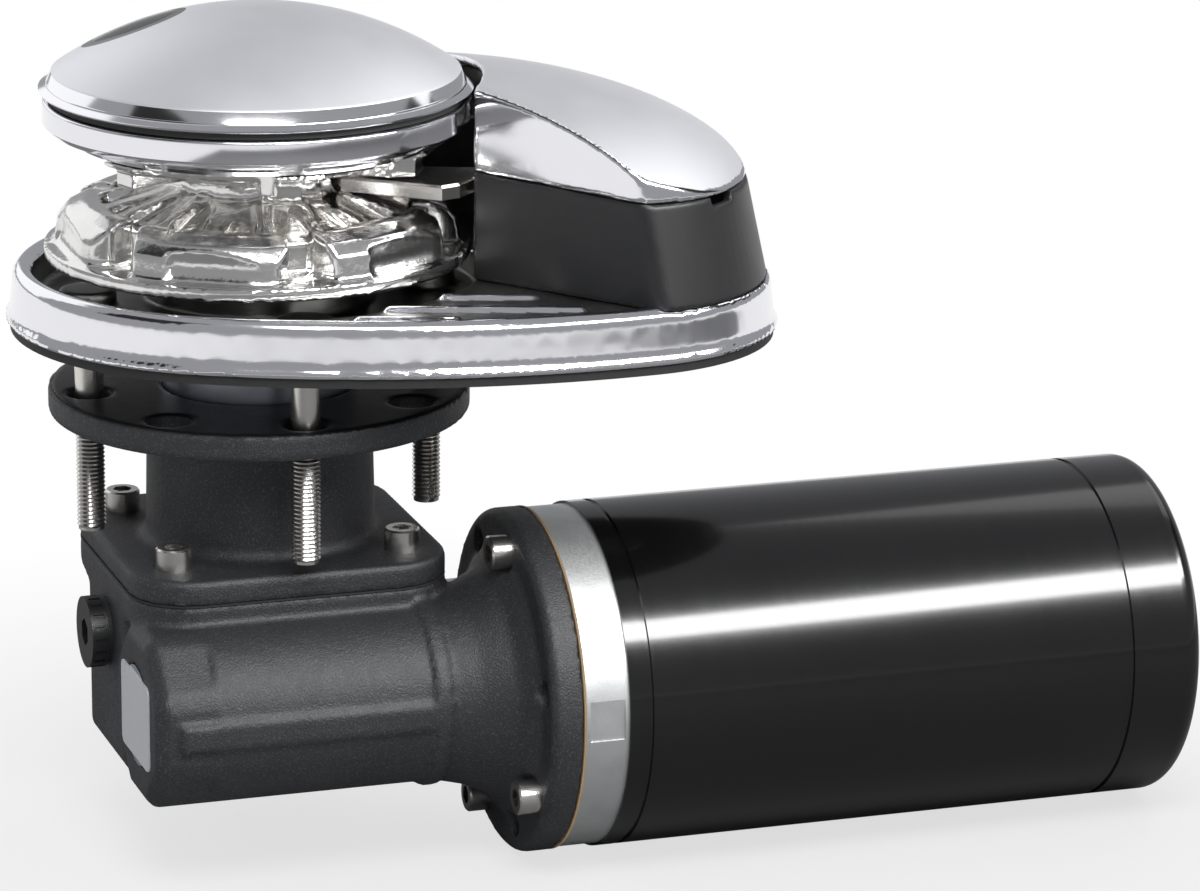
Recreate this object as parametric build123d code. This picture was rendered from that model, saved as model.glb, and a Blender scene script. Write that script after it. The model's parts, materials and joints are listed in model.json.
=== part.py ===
from build123d import *
import math
import os

os.makedirs("parts", exist_ok=True)

# Anchor windlass with a vertical shaft. Sizes are in millimetres.
# The origin is on the main shaft's axis, at the underside of the deck gasket, which is the deck's top.
# Z points up, out of the deck. X points along the deck unit, from the chain wheel to the chain cover.
# The gearbox and motor hang below the deck and are swung about the shaft by motor_angle.

# Fits and gaps
run_fit = 0.05
press_fit = 0.02
loose_fit = 0.15
part_gap = 0.3
ball_fit = 0.04
gasket_gap = 0.5
end_gap = 0.5
hole_gap = 2.0

# How far a cutter or a joined piece reaches past the face that it meets
over = 1.0

# Deck unit outline: a hub arc, an end arc and two long side arcs that touch both
hub_r = 87.0
end_r = 66.0
end_x = 113.5
side_r = 270.0

# Gasket and base plate
gasket_t = 3.0
gasket_inset = 1.5
base_h = 19.0
lip_h = 2.2
lip_w = 1.2
base_draft = 6.0
crest_r = 4.0
rim_w = 8.0
plate_sink = 2.0
plate_t = 5.0
base_wall = 6.0
well_r = 77.0
well_floor_t = 6.0
boss_r = 38.0
boss_gap = 4.0
rib_w = 5.0
rib_h = 1.8
rib_angle = 6.0
rib_pitch = 16.5
rib_first = (84.0, -39.5)
rib_lengths = (34.0, 68.0, 36.0)
rib_shifts = (0.0, 0.0, -24.0)

# Chain hole under the cover
chain_x = 122.0
chain_y = 2.0
chain_l = 52.0
chain_w = 42.0
chain_wall = 4.0

# Main shaft and its supports
shaft_r = 12.5
shaft_bottom = -156.0
thread_r = 12.0
collar_step = 4.0
key_w = 8.0
key_h = 7.0
key_margin = 2.0
bush_t = 4.5
bush_h = 7.0
seal_t = 7.5
seal_h = 5.0
seal_rim_w = 2.0
seal_lip_w = 2.5
seal_groove_depth = 1.5
spigot_r = 33.5
spigot_wall = 6.0
spigot_seat = 3.0
spigot_base_seat = 6.0

# Chain wheel with six pockets
wheel_r = 73.5
wheel_low = 25.0
wheel_high = 65.5
rim_t = 4.5
pockets = 6
pocket_phase = -69.0
waist_r = 30.0
mid_z = 52.0
groove_half = 3.8
lug_r = 70.5
lug_top = 45.0
lug_inner_r = 57.0
lug_gap_w = 9.0
lug_draft = 1.5
lug_shoulder_h = 4.0
wheel_edge = 1.0
upper_r = 63.0
upper_low_z = 62.5
upper_lip_w = 4.0
web_r = 58.5
web_w = 13.0
web_low_z = 56.0
web_phase = -74.0
link_l = 46.0
link_t = 14.0
link_depth = 6.0
link_seat_r = 47.0
wheel_bush_t = 3.5

# Clutch cones
cone_wide_r = 46.0
cone_narrow_r = 38.0
cone_low = 27.0
cone_h = 16.0
cone_foot_r = 24.0
cone_foot_flare = 4.0
cone_foot_drop = 1.5
upper_cone_wide_r = 42.0
upper_cone_narrow_r = 36.0
upper_cone_h = 4.5
ring_r = 73.5
ring_low = 71.5
ring_high = 80.0
ring_edge = 1.2
ring_skirt_w = 2.0
ring_skirt_h = 1.5
release = 1.5

# Cap with the clutch nut inside
seal_ring_r = 71.5
seal_ring_h = 3.0
seal_ring_w = 8.0
cap_r = 73.9
cap_top = 110.5
cap_wall = 4.0
cap_edge_r = 3.0
cap_crown_r = 124.7
nut_r = 24.0
nut_h = 14.0
socket_wall = 5.0
inlay_r = 18.0
inlay_place_r = 43.0
inlay_angle = 174.0
inlay_t = 1.0
inlay_gap = 0.1
inlay_low = 6.0
stop_washer_r = 16.0
stop_washer_t = 2.0
stop_gap = 1.0
stop_room = 3.0
stop_roof = 6.0
stop_socket_depth = 2.5
stop_screw_r = 6.5
stop_screw_h = 4.0
stop_thread_r = 4.0
stop_thread_l = 14.0

# Chain cover
cover_inset = 4.0
cover_split = 58.0
cover_wall = 3.5
shell_wall = 3.0
cut_out_r = 77.0
wall_angle = 30.0
wall_x = 72.0
wall_y = -12.0
wall_run = 30.0
cover_back_x = 32.0
cover_corner_r = 8.0
cover_draft = 12.0
split_tilt = 1.9
crown_x = 52.8
crown_y = 10.3
crown_z = 33.9
crown_a = 126.0
crown_b = 112.6
crown_c = 55.2
notch_l = 12.0
notch_h = 3.0
notch_run = 16.0
notch_angle = -29.0
cover_screw_r = 2.5
cover_screw_head_r = 4.5
cover_screw_head_h = 3.0
cover_boss_r = 6.0
cover_boss_h = 16.0
cover_boss_sink = 2.2
cover_boss_x = 95.0
cover_boss_angles = (60.0, -42.0)

# Chain stripper
stripper_t = 5.0
stripper_reach = 32.5
stripper_overlap = 2.0
stripper_end = (86.0, 0.0)
stripper_tip = ((28.0, -11.0), (66.0, -22.5), (71.5, -17.5), (75.5, -8.0))
stripper_back_y = 7.0
stripper_pillar_r = 8.0
stripper_edge = 0.8
stripper_screw_r = 4.0
stripper_screw_head_r = 6.5
stripper_screw_head_h = 8.0
stripper_screw_l = 22.0

# Deck studs, also the pattern on the gearbox flange
stud_r = 5.0
stud_seat_r = 4.4
stud_pitch = 1.5
stud_circle_r = 60.3
stud_count = 4
stud_top = 12.0
stud_bottom = -69.5
stud_thread_top = -31.0
stud_thread_depth = 0.55
stud_boss_r = 10.0
stud_boss_h = 7.0
flange_hole_r = 7.2
flange_holes = 8

# Gearbox
motor_angle = 22.5
flange_r = 73.0
flange_top = -21.0
flange_t = 9.5
neck_r = 40.0
neck_fillet = 2.5
neck_bore_r = 29.0
neck_taper = 0.8
flange_edge = 1.0
seal_seat_h = 8.0
bearing_lip = 4.0
neck_bore_gap = 3.0
lid_top = -75.0
lid_t = 8.5
lid_edge = 2.0
bearing_rise = 9.0
shaft_nose = 2.0
lid_gasket_t = 0.6
lid_screw_margin_x = 15.5
lid_screw_margin_y = 19.0
lid_screw_r = 4.0
lid_screw_l = 24.0
head_r = 6.1
head_h = 7.6
hex_across = 6.0
hex_depth = 4.5
head_edge = 0.6
head_room = 1.5
box_half = 56.0
box_corner = 22.0
box_wall = 10.5
box_bottom = -152.0
box_edge = 6.0
waist_gap = 5.0
waist_drop = 3.0
waist_slope = 9.0
foot_r = 31.0
foot_bottom = -160.0
saddle_margin = 3.0
saddle_drop = 5.0
worm_offset = 50.0
worm_z = -122.0
barrel_r = 32.0
barrel_left = -36.0
barrel_right = 45.0
collar_r = 33.6
collar_w = 5.0
band_w = 9.0
band_proud = 1.2
end_block_half = 30.7
end_block_left = -57.5
end_block_edge = 4.0
end_block_sides = 8
cavity_floor = -137.0
worm_bore_r = 14.5
motor_flange_r = 60.0
motor_flange_edge = 2.0
flare_h = 16.0
flare_step = 11.0
motor_flange_left = 72.5
motor_flange_right = 83.6
bell_bore_r = 27.0
spigot_bore_r = 40.0
spigot_bore_depth = 4.0
flange_screw_r = 4.0
flange_screw_circle_r = 50.0
flange_screw_angles = (80.0, -35.0, -110.0, 160.0)
empty_hole_angles = (122.0, 12.0, -72.0)
flange_screw_l = 22.0
oil_plug_r = 12.5
oil_plug_h = 6.0
oil_plug_z = -107.0
oil_plug_thread_r = 8.0
oil_plug_thread_l = 9.0
oil_plug_slots = 18
oil_plug_slot = (4.0, 1.2, 1.6)
oil_plug_hex_r = 5.0
oil_plug_hex_depth = 3.0
oil_seal_t = 1.5
plate_w = 30.0
plate_h = 38.0
plate_thick = 0.6
plate_corner = 3.0
end_plug_t = 4.0

# Bearings: bore radius, outer radius, width
main_bearing = (12.5, 26.0, 15.0)
drive_bearing = (7.5, 17.5, 11.0)
race_share = 0.3
ball_share = 0.28
ball_count = 9
bearing_play = 0.01

# Worm and worm wheel
module = 2.5
wheel_teeth = 32
worm_pitch_r = 10.0
worm_tip_r = 12.2
worm_root_r = 7.2
worm_thread_half = 23.0
thread_tip_w = 1.5
thread_root_w = 3.4
thread_sink = 0.6
worm_runout = 3.0
tooth_tip_w = 1.5
tooth_root_w = 3.6
gear_face_w = 13.0
gear_root_r = 37.0
gear_tip_r = 42.2
gear_web_w = 8.0
gear_hub_r = 20.0
gear_rim_w = 5.0
gear_hub_w = 22.0
spacer_t = 3.5

# Motor
motor_gasket_t = 0.8
ring_w = 15.4
bell_r = 59.4
bell_spigot_l = 6.0
bell_spigot_wall = 5.0
bell_flat = (12.4, 34.0)
bell_flat_z = 12.0
bell_flat_depth = 0.7
bell_shaft_gap = 2.0
tube_r = 60.4
tube_wall = 4.0
tube_right = 290.0
tube_groove_w = 2.0
tube_groove_depth = 0.8
tube_groove_at = 6.5
rear_right = 312.0
rear_wall = 5.0
rear_edge_r = 6.5
magnet_t = 5.0
magnet_reach = 5.0
magnet_count = 4
magnet_arc = 62.0
core_left = 132.0
core_right = 232.0
core_r = 50.0
core_slots = 15
slot_w = 5.0
slot_depth = 14.0
winding_r = 44.0
winding_in_r = 12.0
winding_l = 16.0
winding_edge = 6.0
commutator_r = 22.0
commutator_l = 24.0
commutator_bars = 15
commutator_gap = 1.0
commutator_slot_depth = 4.0
armature_shaft_r = 8.5
brush_w = 9.0
brush_t = 6.0
brush_l = 16.0
brush_count = 4
brush_gap = 0.3
brush_plate_t = 3.0
brush_plate_rim = 3.5
holder_step = 3.0
holder_roof = 2.0
brush_plate_gap = 3.0
holder_wall = 1.5
spring_l = 8.0
spring_r = 2.4
spring_wire = 0.9
terminal_r = 4.0
terminal_l = 26.0
terminal_reach = 3.0
terminal_gap = 30.0
terminal_x = 268.0
insulator_r = 10.0
insulator_t = 5.0
insulator_neck_r = 6.9
insulator_neck_l = 8.0
terminal_nut_r = 7.5
terminal_nut_t = 6.0
coupling_r = 16.0
coupling_l = 15.0

# Places worked out from the sizes above
base_low = gasket_t
crest_z = base_low + base_h
plate_top = crest_z - plate_sink
well_floor = base_low + well_floor_t
boss_top = wheel_low - boss_gap
cone_z0 = cone_low - boss_gap / 2
wheel_cone_top = cone_low + cone_h + part_gap
cap_base = ring_high + seal_ring_h
nut_top = ring_high + nut_h
shaft_top = nut_top + release + stop_gap
upper_cone_low = wheel_high - upper_cone_h
flange_bottom = flange_top - flange_t
lid_bottom = lid_top - lid_t
box_top = lid_bottom - lid_gasket_t
output_seal_low = flange_top - spigot_seat - seal_seat_h
main_upper_bearing_top = lid_top + bearing_rise
main_lower_bearing_low = shaft_bottom + shaft_nose
cavity_r = box_half - box_wall
gear_hub_low = worm_z - gear_hub_w / 2
gear_hub_high = worm_z + gear_hub_w / 2
worm_lead = math.pi * module
bell_left = motor_flange_right + motor_gasket_t
bell_right = bell_left + ring_w
tube_left = bell_right
drive_left_bearing_x = end_block_left + end_plug_t + over
drive_right_bearing_x = barrel_right + bearing_lip
motor_front_bearing_x = bell_right - drive_bearing[2] - over
motor_rear_bearing_x = rear_right - rear_wall - drive_bearing[2] - over
drive_shaft_r = drive_bearing[0]
coupling_left = drive_right_bearing_x + drive_bearing[2] + over
commutator_left = core_right + winding_l + over
commutator_right = commutator_left + commutator_l
brush_x = (commutator_left + commutator_right) / 2
brush_plate_x = commutator_right + brush_plate_gap


def z_cyl(r, z0, z1, x=0.0, y=0.0):
    """Upright cylinder from z0 to z1."""
    return Pos(x, y, (z0 + z1) / 2) * Cylinder(r, z1 - z0)


def x_cyl(r, x0, x1, y=0.0, z=0.0):
    """Cylinder along X from x0 to x1."""
    return Pos((x0 + x1) / 2, y, z) * Rot(0, 90, 0) * Cylinder(r, x1 - x0)


def turned(points):
    """Solid of revolution about Z from (radius, height) points."""
    wire = Polyline(*[(r, 0, z) for r, z in points], close=True)
    return revolve(make_face(wire), Axis.Z)


def drive(shape):
    """Moves a shape built about X onto the worm and motor axis."""
    return Rot(0, 0, motor_angle) * Pos(0, -worm_offset, worm_z) * shape


def swing(shape):
    """Turns a gearbox shape about the main shaft to the motor's direction."""
    return Rot(0, 0, motor_angle) * shape


def around(shape, count, start=0.0):
    """Copies of a shape about Z, evenly spaced."""
    return [Rot(0, 0, start + k * 360 / count) * shape for k in range(count)]


def solids_of(shapes):
    """One compound that keeps each piece as its own solid."""
    found = []
    for shape in shapes:
        found += shape.solids()
    return Compound(children=found)


def save(name, shape):
    """Writes a node's STEP file."""
    found = shape.solids()
    whole = found[0] if len(found) == 1 else Compound(children=found)
    whole.label = name
    export_step(whole, os.path.join("parts", name + ".step"))


def side_centre():
    """Distances along and across the deck unit to a side arc's centre."""
    hub_reach = side_r - hub_r
    end_reach = side_r - end_r
    along = (hub_reach**2 - end_reach**2 + end_x**2) / (2 * end_x)
    return along, math.sqrt(hub_reach**2 - along**2)


def deck_outline(inset):
    """Plan outline of the deck unit, moved inwards by inset."""
    hub_reach = side_r - hub_r
    end_reach = side_r - end_r
    side_x, side_y = side_centre()
    hub_dir = Vector(-side_x, side_y) / hub_reach
    end_dir = Vector(end_x - side_x, side_y) / end_reach
    mid_dir = (hub_dir + end_dir).normalized()
    hub_point = hub_dir * (hub_r - inset)
    end_point = Vector(end_x, 0) + end_dir * (end_r - inset)
    mid_point = Vector(side_x, -side_y) + mid_dir * (side_r - inset)
    low = [Vector(p.X, -p.Y) for p in (hub_point, mid_point, end_point)]
    arcs = [
        ThreePointArc(low[0], low[1], low[2]),
        ThreePointArc(low[2], (end_x + end_r - inset, 0), end_point),
        ThreePointArc(end_point, mid_point, hub_point),
        ThreePointArc(hub_point, (-(hub_r - inset), 0), low[0]),
    ]
    return make_face(Wire(arcs))


def end_place(radius, angle):
    """Point at a radius and an angle about the end arc's centre."""
    x, y = polar(radius, angle)
    return end_x + x, y


def cover_boss_places():
    """Places of the cover's bosses, each let into the wall's inner face."""
    margin = cover_inset + cover_wall + cover_boss_r - cover_boss_sink
    side_x, side_y = side_centre()
    across = math.sqrt((side_r - margin) ** 2 - (cover_boss_x - side_x) ** 2) - side_y
    return [(cover_boss_x, across)] + [end_place(end_r - margin, one) for one in cover_boss_angles]


def chain_slot(extra, z0, z1):
    """Rounded hole that the chain drops through, grown by extra."""
    plan = SlotOverall(chain_l + 2 * extra, chain_w + 2 * extra)
    return Pos(chain_x, chain_y, z0) * extrude(plan, z1 - z0)


def stud_places():
    """Angles of the deck studs about the shaft."""
    return [motor_angle + k * 360 / stud_count for k in range(stud_count)]


def polar(radius, angle):
    """X and Y of a point at a radius and an angle in degrees."""
    return radius * math.cos(math.radians(angle)), radius * math.sin(math.radians(angle))


def hex_socket(depth):
    """Hexagon socket with its mouth at z = 0."""
    return Pos(0, 0, -depth) * extrude(RegularPolygon(hex_across / 2, 6, major_radius=False), depth)


def cap_screw(shank_r, shank_l, bore_r=head_r, bore_h=head_h):
    """Socket head screw with the head's underside at z = 0 and the shank below."""
    head = z_cyl(bore_r, 0, bore_h)
    head = chamfer(head.edges().group_by(Axis.Z)[-1], head_edge)
    return head - Pos(0, 0, bore_h) * hex_socket(hex_depth) + z_cyl(shank_r, -shank_l, 0)


def make_base_plate():
    """Cast base plate with a well for the chain wheel, ribs, bosses and the chain hole."""
    lip = Pos(0, 0, base_low) * extrude(deck_outline(0), lip_h)
    body = extrude(deck_outline(lip_w), base_h - lip_h, taper=base_draft)
    body = fillet(body.edges().group_by(Axis.Z)[-1], crest_r)
    plate = lip + Pos(0, 0, base_low + lip_h) * body
    plate -= Pos(0, 0, plate_top) * extrude(deck_outline(rim_w), base_h)
    plate -= Pos(0, 0, plate_top) * extrude(cover_plan(-part_gap), base_h)
    hollow = Pos(0, 0, base_low) * extrude(deck_outline(base_wall), plate_top - plate_t - base_low)
    hollow -= z_cyl(well_r + base_wall, base_low, crest_z)
    hollow -= chain_slot(chain_wall, base_low, crest_z)
    for x, y in cover_boss_places():
        hollow -= z_cyl(cover_boss_r, base_low, crest_z, x, y)
    hollow -= z_cyl(stripper_pillar_r, base_low, crest_z, *stripper_end)
    plate -= hollow
    plate -= z_cyl(well_r, well_floor, crest_z + over)
    plate += z_cyl(boss_r, well_floor, boss_top)
    for angle in stud_places():
        x, y = polar(stud_circle_r, angle)
        plate += z_cyl(stud_boss_r, well_floor, well_floor + stud_boss_h, x, y)
    for index, length in enumerate(rib_lengths):
        rib = extrude(SlotOverall(length, rib_w), rib_h)
        rib = chamfer(rib.edges().group_by(Axis.Z)[-1], rib_h / 2)
        x = rib_first[0] + rib_shifts[index]
        plate += Pos(x, rib_first[1] - index * rib_pitch, plate_top) * Rot(0, 0, rib_angle) * rib
    plate -= z_cyl(well_r, boss_top, crest_z + over)
    plate += z_cyl(stripper_pillar_r, plate_top - plate_t, mid_z - stripper_t / 2, *stripper_end)
    plate -= chain_slot(0, base_low - over, crest_z + over)
    plate -= z_cyl(spigot_r + run_fit, base_low - over, base_low + spigot_base_seat)
    plate -= z_cyl(shaft_r + run_fit + bush_t, base_low, boss_top)
    plate -= z_cyl(shaft_r + run_fit + seal_t, boss_top - seal_h, boss_top + over)
    for angle in stud_places():
        x, y = polar(stud_circle_r, angle)
        plate -= z_cyl(stud_seat_r + run_fit, base_low - over, stud_top, x, y)
    for x, y in cover_boss_places():
        plate -= z_cyl(cover_screw_r + run_fit, base_low - over, crest_z, x, y)
        head_top = base_low + cover_screw_head_h + over
        plate -= z_cyl(cover_screw_head_r + run_fit, base_low - over, head_top, x, y)
    x, y = stripper_end
    screw_floor = mid_z + stripper_t / 2 - stripper_screw_l
    plate -= z_cyl(stripper_screw_r + run_fit, screw_floor, mid_z, x, y)
    return plate


def make_base_gasket():
    """Flat rubber gasket with the base plate's outline."""
    gasket = extrude(deck_outline(gasket_inset), gasket_t)
    gasket -= z_cyl(spigot_r + gasket_gap, -over, gasket_t + over)
    gasket -= chain_slot(gasket_gap, -over, gasket_t + over)
    for angle in stud_places():
        x, y = polar(stud_circle_r, angle)
        gasket -= z_cyl(stud_r + gasket_gap, -over, gasket_t + over, x, y)
    return gasket


def make_spigot():
    """Steel tube that centres the gearbox under the base plate."""
    top = base_low + spigot_base_seat
    low = flange_top - spigot_seat
    return z_cyl(spigot_r, low, top) - z_cyl(spigot_r - spigot_wall, low - over, top + over)


def make_base_bush():
    """Bronze bush in the base plate's boss."""
    low = boss_top - seal_h - bush_h
    bush = z_cyl(shaft_r + run_fit + bush_t, low, low + bush_h)
    return bush - z_cyl(shaft_r + run_fit, low - over, low + bush_h + over)


def make_base_seal():
    """Lip seal round the shaft, above the bush."""
    seal = z_cyl(shaft_r + run_fit + seal_t, boss_top - seal_h, boss_top)
    seal -= z_cyl(shaft_r + run_fit, boss_top - seal_h - over, boss_top + over)
    low = boss_top - seal_groove_depth
    groove = z_cyl(shaft_r + seal_t - seal_rim_w, low, boss_top + over)
    return seal - (groove - z_cyl(shaft_r + seal_lip_w, low - over, boss_top + over))


def make_deck_studs():
    """Four studs, screwed into the base plate, with threads on their lower ends."""
    top = stud_top - end_gap
    points = [(0, top), (stud_seat_r, top), (stud_seat_r, 0), (stud_r, 0), (stud_r, stud_thread_top)]
    turns = int((stud_thread_top - stud_bottom - over) / stud_pitch)
    core = stud_r - stud_thread_depth
    for k in range(turns):
        z = stud_thread_top - (k + 0.5) * stud_pitch
        points.append((stud_r, z))
        points.append((core, z - stud_pitch / 2))
    points += [(core, stud_bottom), (0, stud_bottom)]
    stud = turned(points)
    return solids_of([Pos(*polar(stud_circle_r, angle), 0) * stud for angle in stud_places()])


def wall_plan(inset):
    """Plan of the room behind the cover's near wall and its open back end."""
    slope = math.tan(math.radians(wall_angle))
    lift = inset / math.cos(math.radians(wall_angle))
    far = end_x + end_r
    near_x = wall_x - wall_run

    def wall_at(x):
        return wall_y - (x - wall_x) * slope + lift

    back = cover_back_x + inset
    points = [(near_x, wall_at(near_x)), (far, wall_at(far)), (far, far)]
    points += [(back, far), (back, wall_at(near_x))]
    return make_face(Polyline(*points, close=True))


def cover_plan(inset):
    """Plan of the chain cover's foot: the deck outline cut by the near wall and the back end."""
    return deck_outline(cover_inset + inset) & wall_plan(inset)


def cover_lean(z):
    """How far the cover's outer wall leans in at a height."""
    return (z - plate_top) * math.tan(math.radians(cover_draft))


def cover_block(inset, z0, z1):
    """Block whose outer wall leans in and whose near wall is upright, its near corner rounded."""
    foot = deck_outline(cover_inset + inset + cover_lean(z0))
    block = Pos(0, 0, z0) * extrude(foot, z1 - z0, taper=cover_draft)
    block &= Pos(0, 0, z0) * extrude(wall_plan(inset), z1 - z0)
    tall = block.edges().filter_by(lambda edge: edge.bounding_box().size.Z > (z1 - z0) / 2)
    return fillet(tall.sort_by(Axis.Y)[0], cover_corner_r - inset)


def below_split(drop):
    """Large block under the line where the cover's two pieces meet, which falls towards the end."""
    size = 4 * side_r
    place = Pos(wall_x, 0, cover_split - drop) * Rot(0, split_tilt, 0)
    return place * Pos(0, 0, -size / 2) * Box(size, size, size)


def crown(shrink):
    """Ellipsoid that shapes the cover's top, made smaller by shrink."""
    ball = scale(Sphere(1), by=(crown_a - shrink, crown_b - shrink, crown_c - shrink))
    return Pos(crown_x, crown_y, crown_z) * ball


def make_cover_housing():
    """Black lower wall of the chain cover, open towards the chain wheel."""
    top = cover_split + over
    outer = cover_block(0, plate_top, top)
    housing = outer - cover_block(cover_wall, plate_top - over, top + over)
    boss_high = plate_top + cover_boss_h
    for x, y in cover_boss_places():
        housing += outer & z_cyl(cover_boss_r, plate_top, boss_high, x, y)
        housing -= z_cyl(cover_screw_r + run_fit, plate_top - over, boss_high - hole_gap, x, y)
    housing &= below_split(0)
    housing -= z_cyl(cut_out_r, plate_top - over, top + over)
    x, y = end_place(end_r - cover_inset - cover_lean(cover_split), notch_angle)
    z = cover_split - (x - wall_x) * math.tan(math.radians(split_tilt))
    return housing - Pos(x, y, z) * Rot(0, 0, notch_angle) * Box(notch_run, notch_l, 2 * notch_h)


def make_cover_shell():
    """Crowned top shell of the chain cover."""
    low = cover_split - 2 * cover_corner_r
    block = cover_block(0, low, cap_top)
    hollow = cover_block(shell_wall, low - over, cap_top)
    shell = (block & crown(0)) - (hollow & crown(shell_wall))
    shell -= below_split(0)
    return shell - z_cyl(cut_out_r, low - over, cap_top + over)


def make_cover_screws():
    """Screws that hold the chain cover from below the base plate."""
    low = base_low + over + cover_screw_head_h
    head = z_cyl(cover_screw_head_r, base_low + over, low)
    screw = head + z_cyl(cover_screw_r, low, plate_top + cover_boss_h - hole_gap - end_gap)
    return solids_of([Pos(x, y, 0) * screw for x, y in cover_boss_places()])


def make_chain_stripper():
    """Flat finger that reaches into the chain wheel's groove from a pillar under the cover."""
    x, y = stripper_end
    low = mid_z - stripper_t / 2
    plan = list(stripper_tip)
    plan += [(x, y - stripper_pillar_r), (x, y + stripper_pillar_r)]
    plan.append((stripper_reach - stripper_overlap, stripper_back_y))
    arm = Pos(0, 0, low) * extrude(make_face(Polyline(*plan, close=True)), stripper_t)
    arm += z_cyl(stripper_pillar_r, low, low + stripper_t, x, y)
    arm -= z_cyl(stripper_reach, low - over, low + stripper_t + over)
    arm = chamfer(arm.edges().group_by(Axis.Z)[-1], stripper_edge)
    return arm - z_cyl(stripper_screw_r + run_fit, low - over, low + stripper_t + over, x, y)


def make_stripper_screw():
    """Screw that clamps the stripper to its pillar."""
    screw = cap_screw(stripper_screw_r, stripper_screw_l, stripper_screw_head_r, stripper_screw_head_h)
    return Pos(*stripper_end, mid_z + stripper_t / 2) * screw


def make_gypsy():
    """Chain wheel: a rim, six lower lugs, a waist and an upper flange with six webs."""
    bore = shaft_r + run_fit + wheel_bush_t
    seat_low = upper_cone_low - part_gap
    lower_seat_r = cone_wide_r + part_gap
    upper_seat_r = upper_cone_wide_r + part_gap
    gap_floor = wheel_low + rim_t
    points = [
        (bore, wheel_cone_top),
        (cone_narrow_r + part_gap, wheel_cone_top),
        (lower_seat_r, cone_low),
        (lower_seat_r, wheel_low),
        (wheel_r, wheel_low),
        (wheel_r, gap_floor),
        (lug_r, gap_floor + wheel_edge),
        (lug_r - lug_draft, lug_top - lug_shoulder_h),
        (lug_inner_r, lug_top),
        (waist_r + lug_draft, mid_z - groove_half),
        (waist_r, mid_z - groove_half + wheel_edge),
        (waist_r, mid_z + groove_half),
        (upper_r - upper_lip_w, upper_low_z),
        (upper_r, upper_low_z + wheel_edge),
        (upper_r, wheel_high),
        (upper_seat_r, wheel_high),
        (upper_cone_narrow_r + part_gap, seat_low),
        (bore, seat_low),
    ]
    wheel = turned(points)
    web = Pos((waist_r + web_r) / 2, 0, (web_low_z + upper_low_z + over) / 2)
    web *= Box(web_r - waist_r, web_w, upper_low_z + over - web_low_z)
    wheel += around(web, pockets, web_phase)
    cone_seat = [
        (0, seat_low),
        (upper_cone_narrow_r + part_gap, seat_low),
        (upper_seat_r, wheel_high),
        (upper_seat_r, wheel_high + over),
        (0, wheel_high + over),
    ]
    wheel -= turned(cone_seat)
    gap = Pos((link_seat_r + wheel_r + over) / 2, 0, (gap_floor + mid_z) / 2)
    gap *= Box(wheel_r + over - link_seat_r, lug_gap_w, mid_z - gap_floor)
    seat = extrude(SlotOverall(link_l, link_t), lug_top)
    seat = Pos(lug_inner_r, 0, lug_top - link_depth) * Rot(0, 0, 90) * seat
    for k in range(pockets):
        angle = pocket_phase + k * 360 / pockets
        wheel -= Rot(0, 0, angle) * gap
        wheel -= Rot(0, 0, angle + 180 / pockets) * seat
    return wheel


def make_gypsy_bush():
    """Bronze bush between the chain wheel and the shaft."""
    low = wheel_cone_top
    high = upper_cone_low - part_gap
    bush = z_cyl(shaft_r + run_fit + wheel_bush_t, low, high)
    return bush - z_cyl(shaft_r + run_fit, low - over, high + over)


def make_lower_cone():
    """Lower clutch cone, keyed to the shaft."""
    points = [
        (shaft_r, cone_z0 - cone_foot_drop),
        (cone_foot_r, cone_z0 - cone_foot_drop),
        (cone_foot_r + cone_foot_flare, cone_low - cone_foot_drop),
        (cone_wide_r, cone_low - cone_foot_drop),
        (cone_wide_r, cone_low),
        (cone_narrow_r, cone_low + cone_h),
        (shaft_r, cone_low + cone_h),
    ]
    slot = Pos(shaft_r, 0, cone_low + cone_h / 2) * Box(key_h, key_w, 2 * cone_h)
    return turned(points) - slot


def make_upper_cone():
    """Upper clutch cone with the polished ring that shows under the cap."""
    points = [
        (shaft_r + run_fit, upper_cone_low),
        (upper_cone_narrow_r, upper_cone_low),
        (upper_cone_wide_r, wheel_high),
        (upper_cone_wide_r, wheel_high + part_gap),
        (upper_r, wheel_high + part_gap),
        (upper_r + over, wheel_high + ring_skirt_h),
        (ring_r - ring_skirt_w, ring_low - ring_skirt_h),
        (ring_r, ring_low),
        (ring_r, ring_high - ring_edge),
        (ring_r - ring_edge, ring_high),
        (shaft_r + run_fit, ring_high),
    ]
    slot = Pos(shaft_r, 0, (upper_cone_low + ring_high) / 2)
    slot *= Box(key_h, key_w, 2 * (ring_high - upper_cone_low))
    return turned(points) - slot


def make_cap_seal():
    """Black seal ring between the cap and the clutch ring."""
    ring = z_cyl(seal_ring_r, ring_high, cap_base)
    return ring - z_cyl(seal_ring_r - seal_ring_w, ring_high - over, cap_base + over)


def cap_sphere(shrink):
    """Sphere that shapes the cap's crown."""
    return Pos(0, 0, cap_top - cap_crown_r) * Sphere(cap_crown_r - shrink)


def make_cap_dome():
    """Domed cap with a socket for the clutch nut."""
    dome = z_cyl(cap_r, cap_base, cap_top + over) & cap_sphere(0)
    rim = dome.edges().filter_by(Plane.XY).sort_by(Axis.Z)[-1]
    dome = fillet(rim, cap_edge_r)
    inside = z_cyl(cap_r - cap_wall, cap_base - over, cap_top) & cap_sphere(cap_wall)
    dome -= inside
    socket = z_cyl(nut_r + socket_wall, cap_base, cap_top) & cap_sphere(over)
    socket -= z_cyl(nut_r, cap_base - over, nut_top)
    socket -= z_cyl(stop_washer_r + stop_room, nut_top - over, cap_top - stop_roof)
    dome += socket
    x, y = polar(inlay_place_r, inlay_angle)
    seat = z_cyl(inlay_r, cap_base + inlay_low, cap_top, x, y) - cap_sphere(inlay_t)
    return dome - seat


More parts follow.
